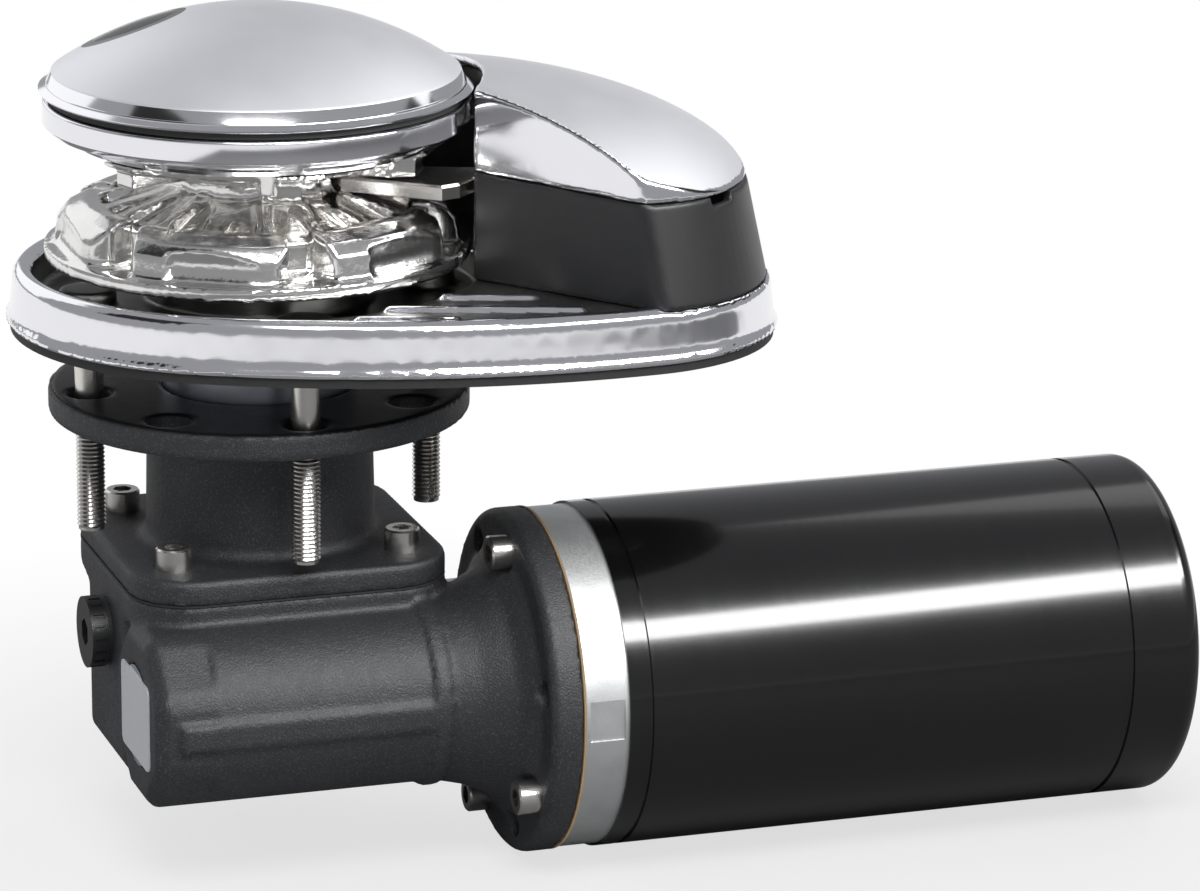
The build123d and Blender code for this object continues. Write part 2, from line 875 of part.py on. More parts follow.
def make_cap_inlay():
    """Round dark inlay, flush with the cap's crown."""
    x, y = polar(inlay_place_r, inlay_angle)
    disc = z_cyl(inlay_r - inlay_gap, cap_base + inlay_low, cap_top, x, y) - cap_sphere(inlay_t)
    return disc & cap_sphere(0)


def make_cap_nut():
    """Bronze clutch nut inside the cap, which turns on the shaft's thread."""
    nut = z_cyl(nut_r, ring_high + part_gap, nut_top)
    return nut - z_cyl(thread_r + run_fit, ring_high - over, nut_top + over)


def make_stop_washer():
    """Washer on the shaft's end that stops the clutch nut."""
    washer = z_cyl(stop_washer_r, shaft_top, shaft_top + stop_washer_t)
    return washer - z_cyl(stop_thread_r + run_fit, shaft_top - over, shaft_top + stop_washer_t + over)


def make_stop_screw():
    """Screw that holds the stop washer."""
    top = shaft_top + stop_washer_t
    head = z_cyl(stop_screw_r, 0, stop_screw_h) - Pos(0, 0, stop_screw_h) * hex_socket(stop_socket_depth)
    return Pos(0, 0, top) * head + z_cyl(stop_thread_r, shaft_top - stop_thread_l, top)


def make_main_shaft():
    """Main shaft with key slots, a threaded top and a tapped end."""
    shaft = z_cyl(shaft_r - press_fit, shaft_bottom, ring_high) + z_cyl(thread_r, ring_high, shaft_top)
    collar_low = boss_top + part_gap
    shaft += z_cyl(shaft_r + collar_step, collar_low, cone_z0 - cone_foot_drop)
    for low, length in key_places():
        shaft -= Pos(shaft_r, 0, low + length / 2) * Box(key_h, key_w, length)
    return shaft - z_cyl(stop_thread_r + run_fit, shaft_top - stop_thread_l - hole_gap, shaft_top + over)


def key_places():
    """Lower end and length of each key slot on the shaft."""
    return (
        (gear_hub_low + key_margin, gear_hub_w - 2 * key_margin),
        (cone_z0, cone_low + cone_h - cone_z0 - key_margin),
        (upper_cone_low + key_margin, ring_high - upper_cone_low - 2 * key_margin),
    )


def make_shaft_keys():
    """Three flat keys: worm wheel, lower cone and upper cone."""
    play = loose_fit
    keys = []
    for low, length in key_places():
        place = Pos(shaft_r, 0, low + length / 2)
        keys.append(place * Box(key_h - 2 * play, key_w - 2 * play, length - 2 * play))
    return solids_of(keys)


def make_gearbox_cover():
    """Upper gearbox casting: deck flange, neck and square lid in one piece."""
    cover = z_cyl(flange_r, flange_bottom, flange_top)
    cover = chamfer(cover.edges().group_by(Axis.Z)[0], flange_edge)
    lid = Pos(0, 0, lid_bottom) * extrude(box_plan(), lid_t)
    lid = fillet(lid.edges().group_by(Axis.Z)[-1], lid_edge)
    slope = [
        (0, lid_top - over),
        (neck_r + neck_fillet, lid_top - over),
        (neck_r + neck_fillet, lid_top),
        (neck_r, lid_top + neck_fillet),
        (neck_r - neck_taper, flange_bottom - neck_fillet),
        (neck_r + neck_fillet, flange_bottom),
        (0, flange_bottom + over),
    ]
    cover += lid + turned(slope)
    cover -= z_cyl(spigot_r + run_fit, flange_top - spigot_seat, flange_top + over)
    cover -= z_cyl(main_bearing[1], output_seal_low, flange_top)
    top = main_upper_bearing_top
    cover -= z_cyl(main_bearing[1] - bearing_lip, top, flange_top)
    cover -= z_cyl(neck_bore_r, top + bearing_lip, output_seal_low - neck_bore_gap)
    cover -= z_cyl(main_bearing[1], lid_bottom - over, top)
    for angle in range(flange_holes):
        x, y = polar(stud_circle_r, angle * 360 / flange_holes)
        cover -= z_cyl(flange_hole_r, flange_bottom - over, flange_top + over, x, y)
    for x, y in lid_corners():
        cover -= z_cyl(lid_screw_r + loose_fit, lid_bottom - over, lid_top + over, x, y)
        cover -= z_cyl(head_r + head_room, lid_top, lid_top + head_h + hole_gap, x, y)
    return swing(cover)


def box_plan():
    """Plan of the gearbox's square part, before it is swung."""
    return RectangleRounded(2 * box_half, 2 * box_half, box_corner)


def lid_corners():
    """Places of the four lid screws before the gearbox is swung."""
    x, y = box_half - lid_screw_margin_x, box_half - lid_screw_margin_y
    return ((-x, -y), (x, -y), (x, y), (-x, y))


def make_lid_screws():
    """Four socket head screws in the lid's corners."""
    screw = Pos(0, 0, lid_top) * cap_screw(lid_screw_r, lid_screw_l)
    return solids_of([swing(Pos(x, y, 0) * screw) for x, y in lid_corners()])


def make_lid_gasket():
    """Thin gasket between the lid and the gearbox housing."""
    gasket = Pos(0, 0, box_top) * extrude(box_plan(), lid_gasket_t)
    gasket -= z_cyl(cavity_r, box_top - over, lid_bottom + over)
    for x, y in lid_corners():
        gasket -= z_cyl(lid_screw_r + loose_fit, box_top - over, lid_bottom + over, x, y)
    return swing(gasket)


def bell_profile():
    """Barrel flare and motor flange, revolved about X."""
    left = barrel_right - over
    flare_r = barrel_r + flare_h
    points = [
        (left, 0),
        (left, barrel_r),
        (barrel_right, barrel_r),
        (barrel_right + flare_step, barrel_r + flare_h / 6),
        (motor_flange_left - flare_step / 2, barrel_r + flare_h / 2),
        (motor_flange_left, flare_r),
        (motor_flange_left, motor_flange_r - motor_flange_edge),
        (motor_flange_left + motor_flange_edge, motor_flange_r),
        (motor_flange_right, motor_flange_r),
        (motor_flange_right, 0),
    ]
    wire = Polyline(*[(x, 0, r) for x, r in points], close=True)
    return revolve(make_face(wire), Axis.X)


def end_block():
    """Eight-sided block at the barrel's left end, with the rim of its end face taken off."""
    plan = RegularPolygon(end_block_half, end_block_sides, major_radius=False)
    plan = Rot(0, 0, 180 / end_block_sides) * plan
    block = Rot(0, 90, 0) * extrude(plan, barrel_left + over - end_block_left)
    block = chamfer(block.edges().group_by(Axis.X)[0], end_block_edge)
    return (Pos(end_block_left, 0, 0) * block) & x_cyl(barrel_r, end_block_left, barrel_left + over)


def box_body():
    """Box round the worm wheel: square under the lid, its corners drawn in below, and a round foot."""
    box = Pos(0, 0, box_bottom) * extrude(box_plan(), box_top - box_bottom)
    box = fillet(box.edges().group_by(Axis.Z)[0], box_edge)
    low_r = box_half + waist_gap
    slope_top = box_top - waist_drop
    points = [(0, box_bottom), (low_r, box_bottom), (low_r, slope_top - waist_slope)]
    points += [(box_half * math.sqrt(2), slope_top), (box_half * math.sqrt(2), box_top), (0, box_top)]
    return (box & turned(points)) + z_cyl(foot_r, foot_bottom, box_bottom + over)


def make_gearbox_housing():
    """Lower gearbox casting: wheel box, worm barrel, flare and motor flange."""
    axis = Pos(0, -worm_offset, worm_z)
    barrel = x_cyl(barrel_r, barrel_left, barrel_right) + end_block()
    barrel += x_cyl(collar_r, barrel_right - collar_w, barrel_right)
    band_left = end_block_left + 2 * end_block_edge
    band = Pos((band_left + barrel_right) / 2, -barrel_r / 2 - band_proud, 0)
    barrel += band * Box(barrel_right - band_left, barrel_r, band_w)
    housing = box_body() + axis * (barrel + bell_profile())
    saddle = Pos(0, -worm_offset / 2, worm_z)
    saddle *= Box(2 * (box_half - saddle_margin), worm_offset, 2 * (barrel_r - saddle_drop))
    housing += saddle
    housing -= z_cyl(cavity_r, cavity_floor, box_top + over)
    housing -= z_cyl(main_bearing[1], main_lower_bearing_low, cavity_floor + over)
    housing -= z_cyl(main_bearing[0] + bearing_lip, shaft_bottom - over, cavity_floor)
    bore = x_cyl(worm_bore_r, end_block_left - over, motor_flange_right + over)
    bore += x_cyl(drive_bearing[1], end_block_left - over, drive_left_bearing_x + drive_bearing[2])
    bore += x_cyl(drive_bearing[1], drive_right_bearing_x, motor_flange_right + over)
    bell_left_x = drive_right_bearing_x + drive_bearing[2] + bearing_lip
    bore += x_cyl(bell_bore_r, bell_left_x, motor_flange_right + over)
    bore += x_cyl(spigot_bore_r, motor_flange_right - spigot_bore_depth, motor_flange_right + over)
    housing -= axis * bore
    for angle in flange_screw_angles:
        housing -= axis * flange_hole(angle, flange_screw_r + loose_fit)
        housing -= axis * head_seat(angle)
    for angle in empty_hole_angles:
        housing -= axis * flange_hole(angle, flange_screw_r + hole_gap / 4)
    for x, y in lid_corners():
        housing -= z_cyl(lid_screw_r + run_fit, lid_top - lid_screw_l - hole_gap, box_top + over, x, y)
    plug_floor = -box_half + oil_plug_thread_l + over
    housing -= x_cyl(oil_plug_thread_r + run_fit, -box_half - over, plug_floor, 0, oil_plug_z)
    return swing(housing)


def flange_hole(angle, radius):
    """Hole through the motor flange at an angle from the near side, upwards positive."""
    y = -flange_screw_circle_r * math.cos(math.radians(angle))
    z = flange_screw_circle_r * math.sin(math.radians(angle))
    return x_cyl(radius, motor_flange_left - flare_step, motor_flange_right + over, y, z)


def head_seat(angle):
    """Spot face for a flange screw's head."""
    y = -flange_screw_circle_r * math.cos(math.radians(angle))
    z = flange_screw_circle_r * math.sin(math.radians(angle))
    return x_cyl(head_r + head_room, motor_flange_left - flare_step - over, motor_flange_left, y, z)


def make_flange_screws():
    """Socket head screws that hold the motor to the gearbox."""
    screws = []
    for angle in flange_screw_angles:
        y = -flange_screw_circle_r * math.cos(math.radians(angle))
        z = flange_screw_circle_r * math.sin(math.radians(angle))
        screw = Rot(0, -90, 0) * cap_screw(flange_screw_r, flange_screw_l)
        screws.append(drive(Pos(motor_flange_left, y, z) * screw))
    return solids_of(screws)


def make_oil_plug():
    """Black oil plug with a grooved edge and a recess in its face."""
    plug = x_cyl(oil_plug_r, -oil_plug_h, 0)
    notch = Pos(-oil_plug_h / 2, oil_plug_r, 0) * Box(*oil_plug_slot)
    for k in range(oil_plug_slots):
        plug -= Rot(k * 360 / oil_plug_slots, 0, 0) * notch
    recess = extrude(RegularPolygon(oil_plug_hex_r, 6), oil_plug_hex_depth)
    plug -= Pos(-oil_plug_h, 0, 0) * Rot(0, 90, 0) * recess
    plug += x_cyl(oil_plug_thread_r, 0, oil_seal_t + oil_plug_thread_l)
    return swing(Pos(-box_half - oil_seal_t, 0, oil_plug_z) * plug)


def make_oil_seal():
    """Flat seal ring under the oil plug's head."""
    left = -box_half - oil_seal_t
    ring = x_cyl(oil_plug_r - over, left, -box_half, 0, oil_plug_z)
    return swing(ring - x_cyl(oil_plug_thread_r + run_fit, left - over, over - box_half, 0, oil_plug_z))


def make_blank_plate():
    """Blank metal plate on the barrel's end boss."""
    plate = RectangleRounded(plate_w, plate_h, plate_corner)
    plate = Rot(0, -90, 0) * extrude(plate, plate_thick)
    return drive(Pos(end_block_left, 0, 0) * plate)


def make_end_plug():
    """Steel plug that closes the barrel behind the worm's bearing."""
    return drive(x_cyl(drive_bearing[1] - run_fit, end_block_left, end_block_left + end_plug_t))


def bearing_pieces(bearing, place):
    """Inner ring, outer ring and balls of a ball bearing about Z, its lower face at place."""
    bore_r, outer_r, width = bearing
    span = outer_r - bore_r
    ball_r = span * ball_share
    middle = (bore_r + outer_r) / 2
    tube = Pos(0, 0, width / 2) * Torus(middle, ball_r + ball_fit)
    inner = z_cyl(bore_r + span * race_share, 0, width) - tube
    inner -= z_cyl(bore_r + bearing_play, -over, width + over)
    outer = z_cyl(outer_r - bearing_play, 0, width) - tube
    outer -= z_cyl(outer_r - span * race_share, -over, width + over)
    ball = Pos(middle, 0, width / 2) * Sphere(ball_r)
    return place * inner, place * outer, [place * one for one in around(ball, ball_count)]


def main_bearing_places():
    """Places of the main shaft's two bearings."""
    return (Pos(0, 0, main_lower_bearing_low), Pos(0, 0, main_upper_bearing_top - main_bearing[2]))


def drive_bearing_places():
    """Places of the four bearings on the worm and motor axis."""
    swung = Rot(0, 0, motor_angle) * Pos(0, -worm_offset, worm_z)
    starts = (drive_left_bearing_x, drive_right_bearing_x, motor_front_bearing_x, motor_rear_bearing_x)
    return [swung * Pos(x, 0, 0) * Rot(0, 90, 0) for x in starts]


def bearing_set(bearing, places):
    """Inner rings, outer rings and balls of like bearings, one compound of each."""
    inner, outer, balls = [], [], []
    for place in places:
        one_inner, one_outer, some_balls = bearing_pieces(bearing, place)
        inner.append(one_inner)
        outer.append(one_outer)
        balls += some_balls
    return solids_of(inner), solids_of(outer), solids_of(balls)


def make_output_seal():
    """Lip seal round the shaft in the gearbox flange."""
    seal = z_cyl(main_bearing[1], output_seal_low, flange_top - spigot_seat)
    return seal - z_cyl(shaft_r + run_fit, output_seal_low - over, flange_top)


def make_shaft_spacers():
    """Two sleeves that space the worm wheel from the bearings."""
    lower = (main_lower_bearing_low + main_bearing[2], gear_hub_low)
    upper = (gear_hub_high, main_upper_bearing_top - main_bearing[2])
    sleeves = []
    for low, high in (lower, upper):
        sleeves.append(z_cyl(shaft_r + spacer_t, low, high) - z_cyl(shaft_r, low - over, high + over))
    return solids_of(sleeves)


def make_worm_wheel():
    """Bronze worm wheel with teeth tilted by the worm's lead angle."""
    lead_angle = math.degrees(math.atan(worm_lead / (2 * math.pi * worm_pitch_r)))
    low, high = worm_z - gear_face_w / 2, worm_z + gear_face_w / 2
    wheel = z_cyl(gear_root_r, low, high)
    pocket_h = (gear_face_w - gear_web_w) / 2
    groove = z_cyl(gear_root_r - gear_rim_w, 0, pocket_h + over)
    groove -= z_cyl(gear_hub_r, -over, pocket_h + 2 * over)
    wheel -= Pos(0, 0, high - pocket_h) * groove
    wheel -= Pos(0, 0, low - over) * groove
    wheel += z_cyl(gear_hub_r, gear_hub_low, gear_hub_high)
    foot = gear_root_r - over
    plan = [(foot, -tooth_root_w / 2), (foot, tooth_root_w / 2)]
    plan += [(gear_tip_r, tooth_tip_w / 2), (gear_tip_r, -tooth_tip_w / 2)]
    tooth = extrude(make_face(Polyline(*plan, close=True)), 2 * gear_face_w)
    tooth = Rot(-lead_angle, 0, 0) * Pos(0, 0, -gear_face_w) * tooth
    tooth &= Box(3 * gear_tip_r, gear_tip_r, gear_face_w)
    teeth = [Pos(0, 0, worm_z) * one for one in around(tooth, wheel_teeth, motor_angle - 90)]
    wheel += teeth
    wheel -= z_cyl(shaft_r, gear_hub_low - over, gear_hub_high + over)
    return wheel - Pos(shaft_r, 0, worm_z) * Box(key_h, key_w, gear_hub_w + over)


def make_worm():
    """Worm with a right-hand helical thread, and its stub shafts."""
    half = worm_thread_half
    helix = Helix(pitch=worm_lead, height=2 * half, radius=worm_pitch_r)
    foot = worm_root_r - thread_sink
    profile = [(foot, -thread_root_w / 2), (worm_tip_r, -thread_tip_w / 2)]
    profile += [(worm_tip_r, thread_tip_w / 2), (foot, thread_root_w / 2)]
    face = make_face(Polyline(*[(r, 0, z) for r, z in profile], close=True))
    thread = sweep(face, path=helix, is_frenet=True)
    thread = Pos(0, 0, -half) * thread
    core = z_cyl(worm_root_r, -half - worm_runout, half + worm_runout)
    worm = core + thread
    # The thread's crest faces away from the wheel at mid-length, so a wheel tooth sits in its gap.
    start_angle = 270 - 360 * half / worm_lead
    worm = Rot(0, 90, 0) * Rot(0, 0, start_angle) * worm
    left = drive_left_bearing_x - end_gap
    right = coupling_left + coupling_l / 2
    worm += x_cyl(drive_shaft_r, left, -half) + x_cyl(drive_shaft_r, half, right)
    return drive(worm)


def make_coupling():
    """Sleeve that joins the worm's shaft to the motor's shaft."""
    right = coupling_left + coupling_l
    sleeve = x_cyl(coupling_r, coupling_left, right)
    return drive(sleeve - x_cyl(drive_shaft_r, coupling_left - over, right + over))


def make_armature_shaft():
    """Motor shaft from the coupling to the rear bearing."""
    left = coupling_left + coupling_l / 2
    shaft = x_cyl(drive_shaft_r, left, motor_rear_bearing_x + drive_bearing[2] + end_gap)
    low = motor_front_bearing_x + drive_bearing[2] + end_gap
    return drive(shaft + x_cyl(armature_shaft_r, low, motor_rear_bearing_x - end_gap))


def make_motor_gasket():
    """Paper gasket between the gearbox and the motor."""
    gasket = x_cyl(motor_flange_r, motor_flange_right, bell_left)
    gasket -= x_cyl(spigot_bore_r, motor_flange_right - over, bell_left + over)
    for angle in flange_screw_angles:
        gasket -= flange_hole(angle, flange_screw_r + loose_fit)
    return drive(gasket)


def make_front_bell():
    """Aluminium front ring of the motor, with the front bearing's seat."""
    bell = x_cyl(bell_r, bell_left, bell_right)
    end = bell_right + bell_spigot_l
    bell += x_cyl(tube_r - tube_wall - run_fit, bell_right - over, end)
    flat = Pos((bell_left + bell_right) / 2, bell_flat_depth - 1.5 * bell_r, bell_flat_z)
    bell -= flat * Box(bell_flat[0], bell_r, bell_flat[1])
    bell -= x_cyl(drive_bearing[1], motor_front_bearing_x, end + over)
    bell -= x_cyl(drive_shaft_r + bell_shaft_gap, bell_left - over, bell_right)
    hollow = x_cyl(tube_r - tube_wall - bell_spigot_wall, bell_right + over, end + over)
    bell -= hollow - x_cyl(drive_bearing[1] + bell_spigot_wall, bell_right, end + 2 * over)
    for angle in flange_screw_angles:
        y = -flange_screw_circle_r * math.cos(math.radians(angle))
        z = flange_screw_circle_r * math.sin(math.radians(angle))
        depth = motor_flange_left + flange_screw_l + over
        bell -= x_cyl(flange_screw_r + run_fit, bell_left - over, depth, y, z)
    return drive(bell)


def make_motor_tube():
    """Rolled steel motor tube with a groove near each end."""
    tube = x_cyl(tube_r, tube_left, tube_right)
    for x in (tube_left + tube_groove_at, tube_right - tube_groove_at):
        ring = x_cyl(tube_r + over, x, x + tube_groove_w)
        tube -= ring - x_cyl(tube_r - tube_groove_depth, x - over, x + tube_groove_w + over)
    tube -= x_cyl(tube_r - tube_wall, tube_left - over, tube_right + over)
    for x in terminal_places():
        tube -= Pos(x, tube_r, 0) * Rot(90, 0, 0) * Cylinder(insulator_neck_r + loose_fit, tube_r / 2)
    return drive(tube)


def terminal_places():
    """Places of the two terminals along the motor, on the side away from the chain cover's view."""
    return (terminal_x - terminal_gap, terminal_x)


def make_rear_bell():
    """Rear end cap of the motor with the rear bearing's seat."""
    bell = x_cyl(tube_r, tube_right, rear_right)
    bell = fillet(bell.edges().group_by(Axis.X)[-1], rear_edge_r)
    left = tube_right - rear_wall
    bell += x_cyl(tube_r - tube_wall - run_fit, left, tube_right + over)
    inside = x_cyl(tube_r - tube_wall - rear_wall, left - over, rear_right - rear_wall)
    inside -= x_cyl(drive_bearing[1] + rear_wall, motor_rear_bearing_x, rear_right)
    bell -= inside
    seat_right = motor_rear_bearing_x + drive_bearing[2] + over
    bell -= x_cyl(drive_bearing[1], motor_rear_bearing_x - over, seat_right)
    return drive(bell)


def make_magnets():
    """Four curved magnets on the inside of the motor tube."""
    outer = tube_r - tube_wall - run_fit
    left, right = core_left - magnet_reach, core_right + magnet_reach
    ring = x_cyl(outer, left, right)
    ring -= x_cyl(outer - magnet_t, left - over, right + over)
    half = math.radians(magnet_arc / 2)
    reach = 2 * tube_r
    wedge_plan = [(0, 0), (reach * math.cos(half), reach * math.sin(half))]
    wedge_plan += [(reach * math.cos(half), -reach * math.sin(half))]
    wedge = extrude(make_face(Polyline(*wedge_plan, close=True)), right - left + 2 * over)
    wedge = Pos(left - over, 0, 0) * Rot(0, 90, 0) * wedge
    pieces = []
    for k in range(magnet_count):
        pieces.append(drive(ring & (Rot(45 + k * 360 / magnet_count, 0, 0) * wedge)))
    return solids_of(pieces)


def make_armature_core():
    """Laminated armature core with slots for the windings."""
    core = x_cyl(core_r, core_left, core_right)
    middle = (core_left + core_right) / 2
    slot = Pos(middle, 0, core_r - slot_depth / 2 + over)
    slot *= Box(core_right - core_left + over, slot_w, slot_depth)
    for k in range(core_slots):
        core -= Rot(k * 360 / core_slots, 0, 0) * slot
    return drive(core - x_cyl(armature_shaft_r, core_left - over, core_right + over))


def make_windings():
    """Copper end turns at both ends of the armature core."""
    pieces = []
    for x0, x1 in ((core_left - winding_l, core_left), (core_right, core_right + winding_l)):
        turn = x_cyl(winding_r, x0, x1)
        outer = turn.edges().group_by(Axis.X)[0 if x1 == core_left else -1]
        turn = fillet(outer, winding_edge)
        pieces.append(drive(turn - x_cyl(winding_in_r, x0 - over, x1 + over)))
    return solids_of(pieces)


def make_commutator():
    """Copper commutator with slots between its bars."""
    body = x_cyl(commutator_r, commutator_left, commutator_right)
    slot = Pos(brush_x, 0, commutator_r) * Box(commutator_l + over, commutator_gap, commutator_slot_depth)
    for k in range(commutator_bars):
        body -= Rot(k * 360 / commutator_bars, 0, 0) * slot
    return drive(body - x_cyl(armature_shaft_r, commutator_left - over, commutator_right + over))


def make_brushes():
    """Four carbon brushes against the commutator."""
    low = commutator_r + brush_gap
    brush = Pos(brush_x, 0, low + brush_l / 2) * Box(brush_w, brush_t, brush_l)
    return solids_of([drive(Rot(k * 360 / brush_count, 0, 0) * brush) for k in range(brush_count)])


def make_brush_springs():
    """Short springs that press the brushes inwards, drawn as slim tubes."""
    low = commutator_r + brush_gap + brush_l
    spring = z_cyl(spring_r, low, low + spring_l, brush_x)
    spring -= z_cyl(spring_r - spring_wire, low - over, low + spring_l + over, brush_x)
    return solids_of([drive(Rot(k * 360 / brush_count, 0, 0) * spring) for k in range(brush_count)])


def make_brush_plate():
    """Insulating plate with a holder round each brush."""
    outer = tube_r - tube_wall - brush_plate_rim
    plate = x_cyl(outer, brush_plate_x, brush_plate_x + brush_plate_t)
    plate -= x_cyl(commutator_r + holder_step, brush_plate_x - over, brush_plate_x + brush_plate_t + over)
    low = commutator_r + brush_gap + holder_step
    high = commutator_r + brush_gap + brush_l + spring_l
    left = brush_x - brush_w / 2 - holder_wall
    block = Pos((left + brush_plate_x) / 2, 0, (low + high + holder_roof) / 2)
    block *= Box(brush_plate_x - left, brush_t + 2 * holder_wall, high + holder_roof - low)
    slot = Pos(brush_x, 0, (low + high - holder_roof) / 2)
    slot *= Box(brush_w + 2 * loose_fit, brush_t + 2 * loose_fit, high - low + holder_roof)
    for k in range(brush_count):
        plate += Rot(k * 360 / brush_count, 0, 0) * (block - slot)
    return drive(plate)


def make_terminal_studs():
    """Two threaded power terminals with nuts on the motor's far side."""
    pieces = []
    for x in terminal_places():
        base = tube_r - tube_wall - terminal_reach
        stud = Pos(x, base + terminal_l / 2, 0) * Rot(90, 0, 0) * Cylinder(terminal_r, terminal_l)
        nut = extrude(RegularPolygon(terminal_nut_r, 6), terminal_nut_t)
        nut = Pos(x, tube_r + insulator_t, 0) * Rot(-90, 0, 0) * nut
        pieces.append(drive(stud + nut))
    return solids_of(pieces)


def make_terminal_insulators():
    """Insulating bushes round the power terminals."""
    pieces = []
    for x in terminal_places():
        place = Rot(90, 0, 0)
        disc = Pos(x, tube_r + insulator_t / 2, 0) * place * Cylinder(insulator_r, insulator_t)
        shell = x_cyl(tube_r + press_fit, x - 2 * insulator_r, x + 2 * insulator_r)
        neck = Pos(x, tube_r - over, 0) * place * Cylinder(insulator_neck_r, insulator_neck_l)
        hole = Pos(x, tube_r, 0) * place * Cylinder(terminal_r + press_fit, terminal_l)
        pieces.append(drive((disc - shell + neck) - hole))
    return solids_of(pieces)


main_inner, main_outer, main_balls = bearing_set(main_bearing, main_bearing_places())
drive_inner, drive_outer, drive_balls = bearing_set(drive_bearing, drive_bearing_places())

nodes = {
    "base_plate": make_base_plate(),
    "base_gasket": make_base_gasket(),
    "centering_spigot": make_spigot(),
    "base_bush": make_base_bush(),
    "base_seal": make_base_seal(),
    "deck_studs": make_deck_studs(),
    "cover_housing": make_cover_housing(),
    "cover_shell": make_cover_shell(),
    "cover_screws": make_cover_screws(),
    "chain_stripper": make_chain_stripper(),
    "stripper_screw": make_stripper_screw(),
    "gypsy": make_gypsy(),
    "gypsy_bush": make_gypsy_bush(),
    "lower_clutch_cone": make_lower_cone(),
    "upper_clutch_cone": make_upper_cone(),
    "cap_seal_ring": make_cap_seal(),
    "cap_dome": make_cap_dome(),
    "cap_inlay": make_cap_inlay(),
    "cap_nut": make_cap_nut(),
    "stop_washer": make_stop_washer(),
    "stop_screw": make_stop_screw(),
    "main_shaft": make_main_shaft(),
    "shaft_keys": make_shaft_keys(),
    "gearbox_cover": make_gearbox_cover(),
    "lid_screws": make_lid_screws(),
    "lid_gasket": make_lid_gasket(),
    "gearbox_housing": make_gearbox_housing(),
    "flange_screws": make_flange_screws(),
    "oil_plug": make_oil_plug(),
    "oil_plug_seal": make_oil_seal(),
    "blank_plate": make_blank_plate(),
    "barrel_end_plug": make_end_plug(),
    "output_seal": make_output_seal(),
    "main_bearing_outer_rings": main_outer,
    "main_bearing_inner_rings": main_inner,
    "main_bearing_balls": main_balls,
    "shaft_spacers": make_shaft_spacers(),
    "worm_wheel": make_worm_wheel(),
    "worm": make_worm(),
    "drive_bearing_outer_rings": drive_outer,
    "drive_bearing_inner_rings": drive_inner,
    "drive_bearing_balls": drive_balls,
    "drive_coupling": make_coupling(),
    "armature_shaft": make_armature_shaft(),
    "motor_gasket": make_motor_gasket(),
    "motor_front_bell": make_front_bell(),
    "motor_tube": make_motor_tube(),
    "motor_rear_bell": make_rear_bell(),
    "motor_magnets": make_magnets(),
    "armature_core": make_armature_core(),
    "armature_windings": make_windings(),
    "commutator": make_commutator(),
    "brushes": make_brushes(),
    "brush_springs": make_brush_springs(),
    "brush_plate": make_brush_plate(),
    "terminal_studs": make_terminal_studs(),
    "terminal_insulators": make_terminal_insulators(),
}

for node_name, node_shape in nodes.items():
    save(node_name, node_shape)
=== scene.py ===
import json
import math

import bpy
from mathutils import Matrix, Vector


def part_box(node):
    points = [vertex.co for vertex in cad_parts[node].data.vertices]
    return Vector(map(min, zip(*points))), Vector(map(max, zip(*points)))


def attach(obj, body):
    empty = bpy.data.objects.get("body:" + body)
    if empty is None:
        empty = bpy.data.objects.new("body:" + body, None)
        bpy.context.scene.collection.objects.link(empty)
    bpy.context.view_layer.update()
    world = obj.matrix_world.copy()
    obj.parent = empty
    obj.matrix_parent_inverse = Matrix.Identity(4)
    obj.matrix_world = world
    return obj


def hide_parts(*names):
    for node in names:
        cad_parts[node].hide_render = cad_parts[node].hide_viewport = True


bl_info = {
    "name": "Anchor Windlass",
    "version": (1, 0, 0),
    "blender": (4, 5, 0),
    "location": "View3D > Sidebar > Windlass",
    "description": "Builds the looks of an anchor windlass around its CAD frame",
    "category": "Object",
}

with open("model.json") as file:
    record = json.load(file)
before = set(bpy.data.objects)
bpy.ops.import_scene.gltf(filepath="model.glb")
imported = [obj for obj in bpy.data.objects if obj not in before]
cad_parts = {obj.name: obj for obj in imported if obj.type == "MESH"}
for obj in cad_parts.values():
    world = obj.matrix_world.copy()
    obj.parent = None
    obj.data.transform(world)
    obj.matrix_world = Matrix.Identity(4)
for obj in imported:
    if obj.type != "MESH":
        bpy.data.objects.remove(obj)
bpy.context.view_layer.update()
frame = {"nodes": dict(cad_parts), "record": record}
NODES = frame["nodes"]

MM = 0.001
PREFIX = "windlass_"
MOTOR_ANGLE = math.radians(22.5)
SMOOTH_LIMIT = math.radians(35)
MERGE_GAP = 0.002 * MM
RING_STEPS = 160
LEAST_RADIUS = 0.01


# Materials

class Value:
    """A socket of a material's node tree that takes part in arithmetic."""

    def __init__(self, tree, socket):
        self.tree = tree
        self.socket = socket

    def math(self, operation, first, second=None):
        node = self.tree.nodes.new("ShaderNodeMath")
        node.operation = operation
        feed(self.tree, node.inputs[0], first)
        if second is not None:
            feed(self.tree, node.inputs[1], second)
        return Value(self.tree, node.outputs[0])

    def __add__(self, other):
        return self.math("ADD", self, other)

    def __sub__(self, other):
        return self.math("SUBTRACT", self, other)

    def __rsub__(self, other):
        return self.math("SUBTRACT", other, self)

    def __mul__(self, other):
        return self.math("MULTIPLY", self, other)

    __radd__ = __add__
    __rmul__ = __mul__

    def above(self, edge, soft):
        """0 below an edge, 1 above it, with a ramp of the given width."""
        node = self.tree.nodes.new("ShaderNodeMapRange")
        feed(self.tree, node.inputs["Value"], self)
        node.inputs["From Min"].default_value = edge - soft / 2
        node.inputs["From Max"].default_value = edge + soft / 2
        return Value(self.tree, node.outputs["Result"])


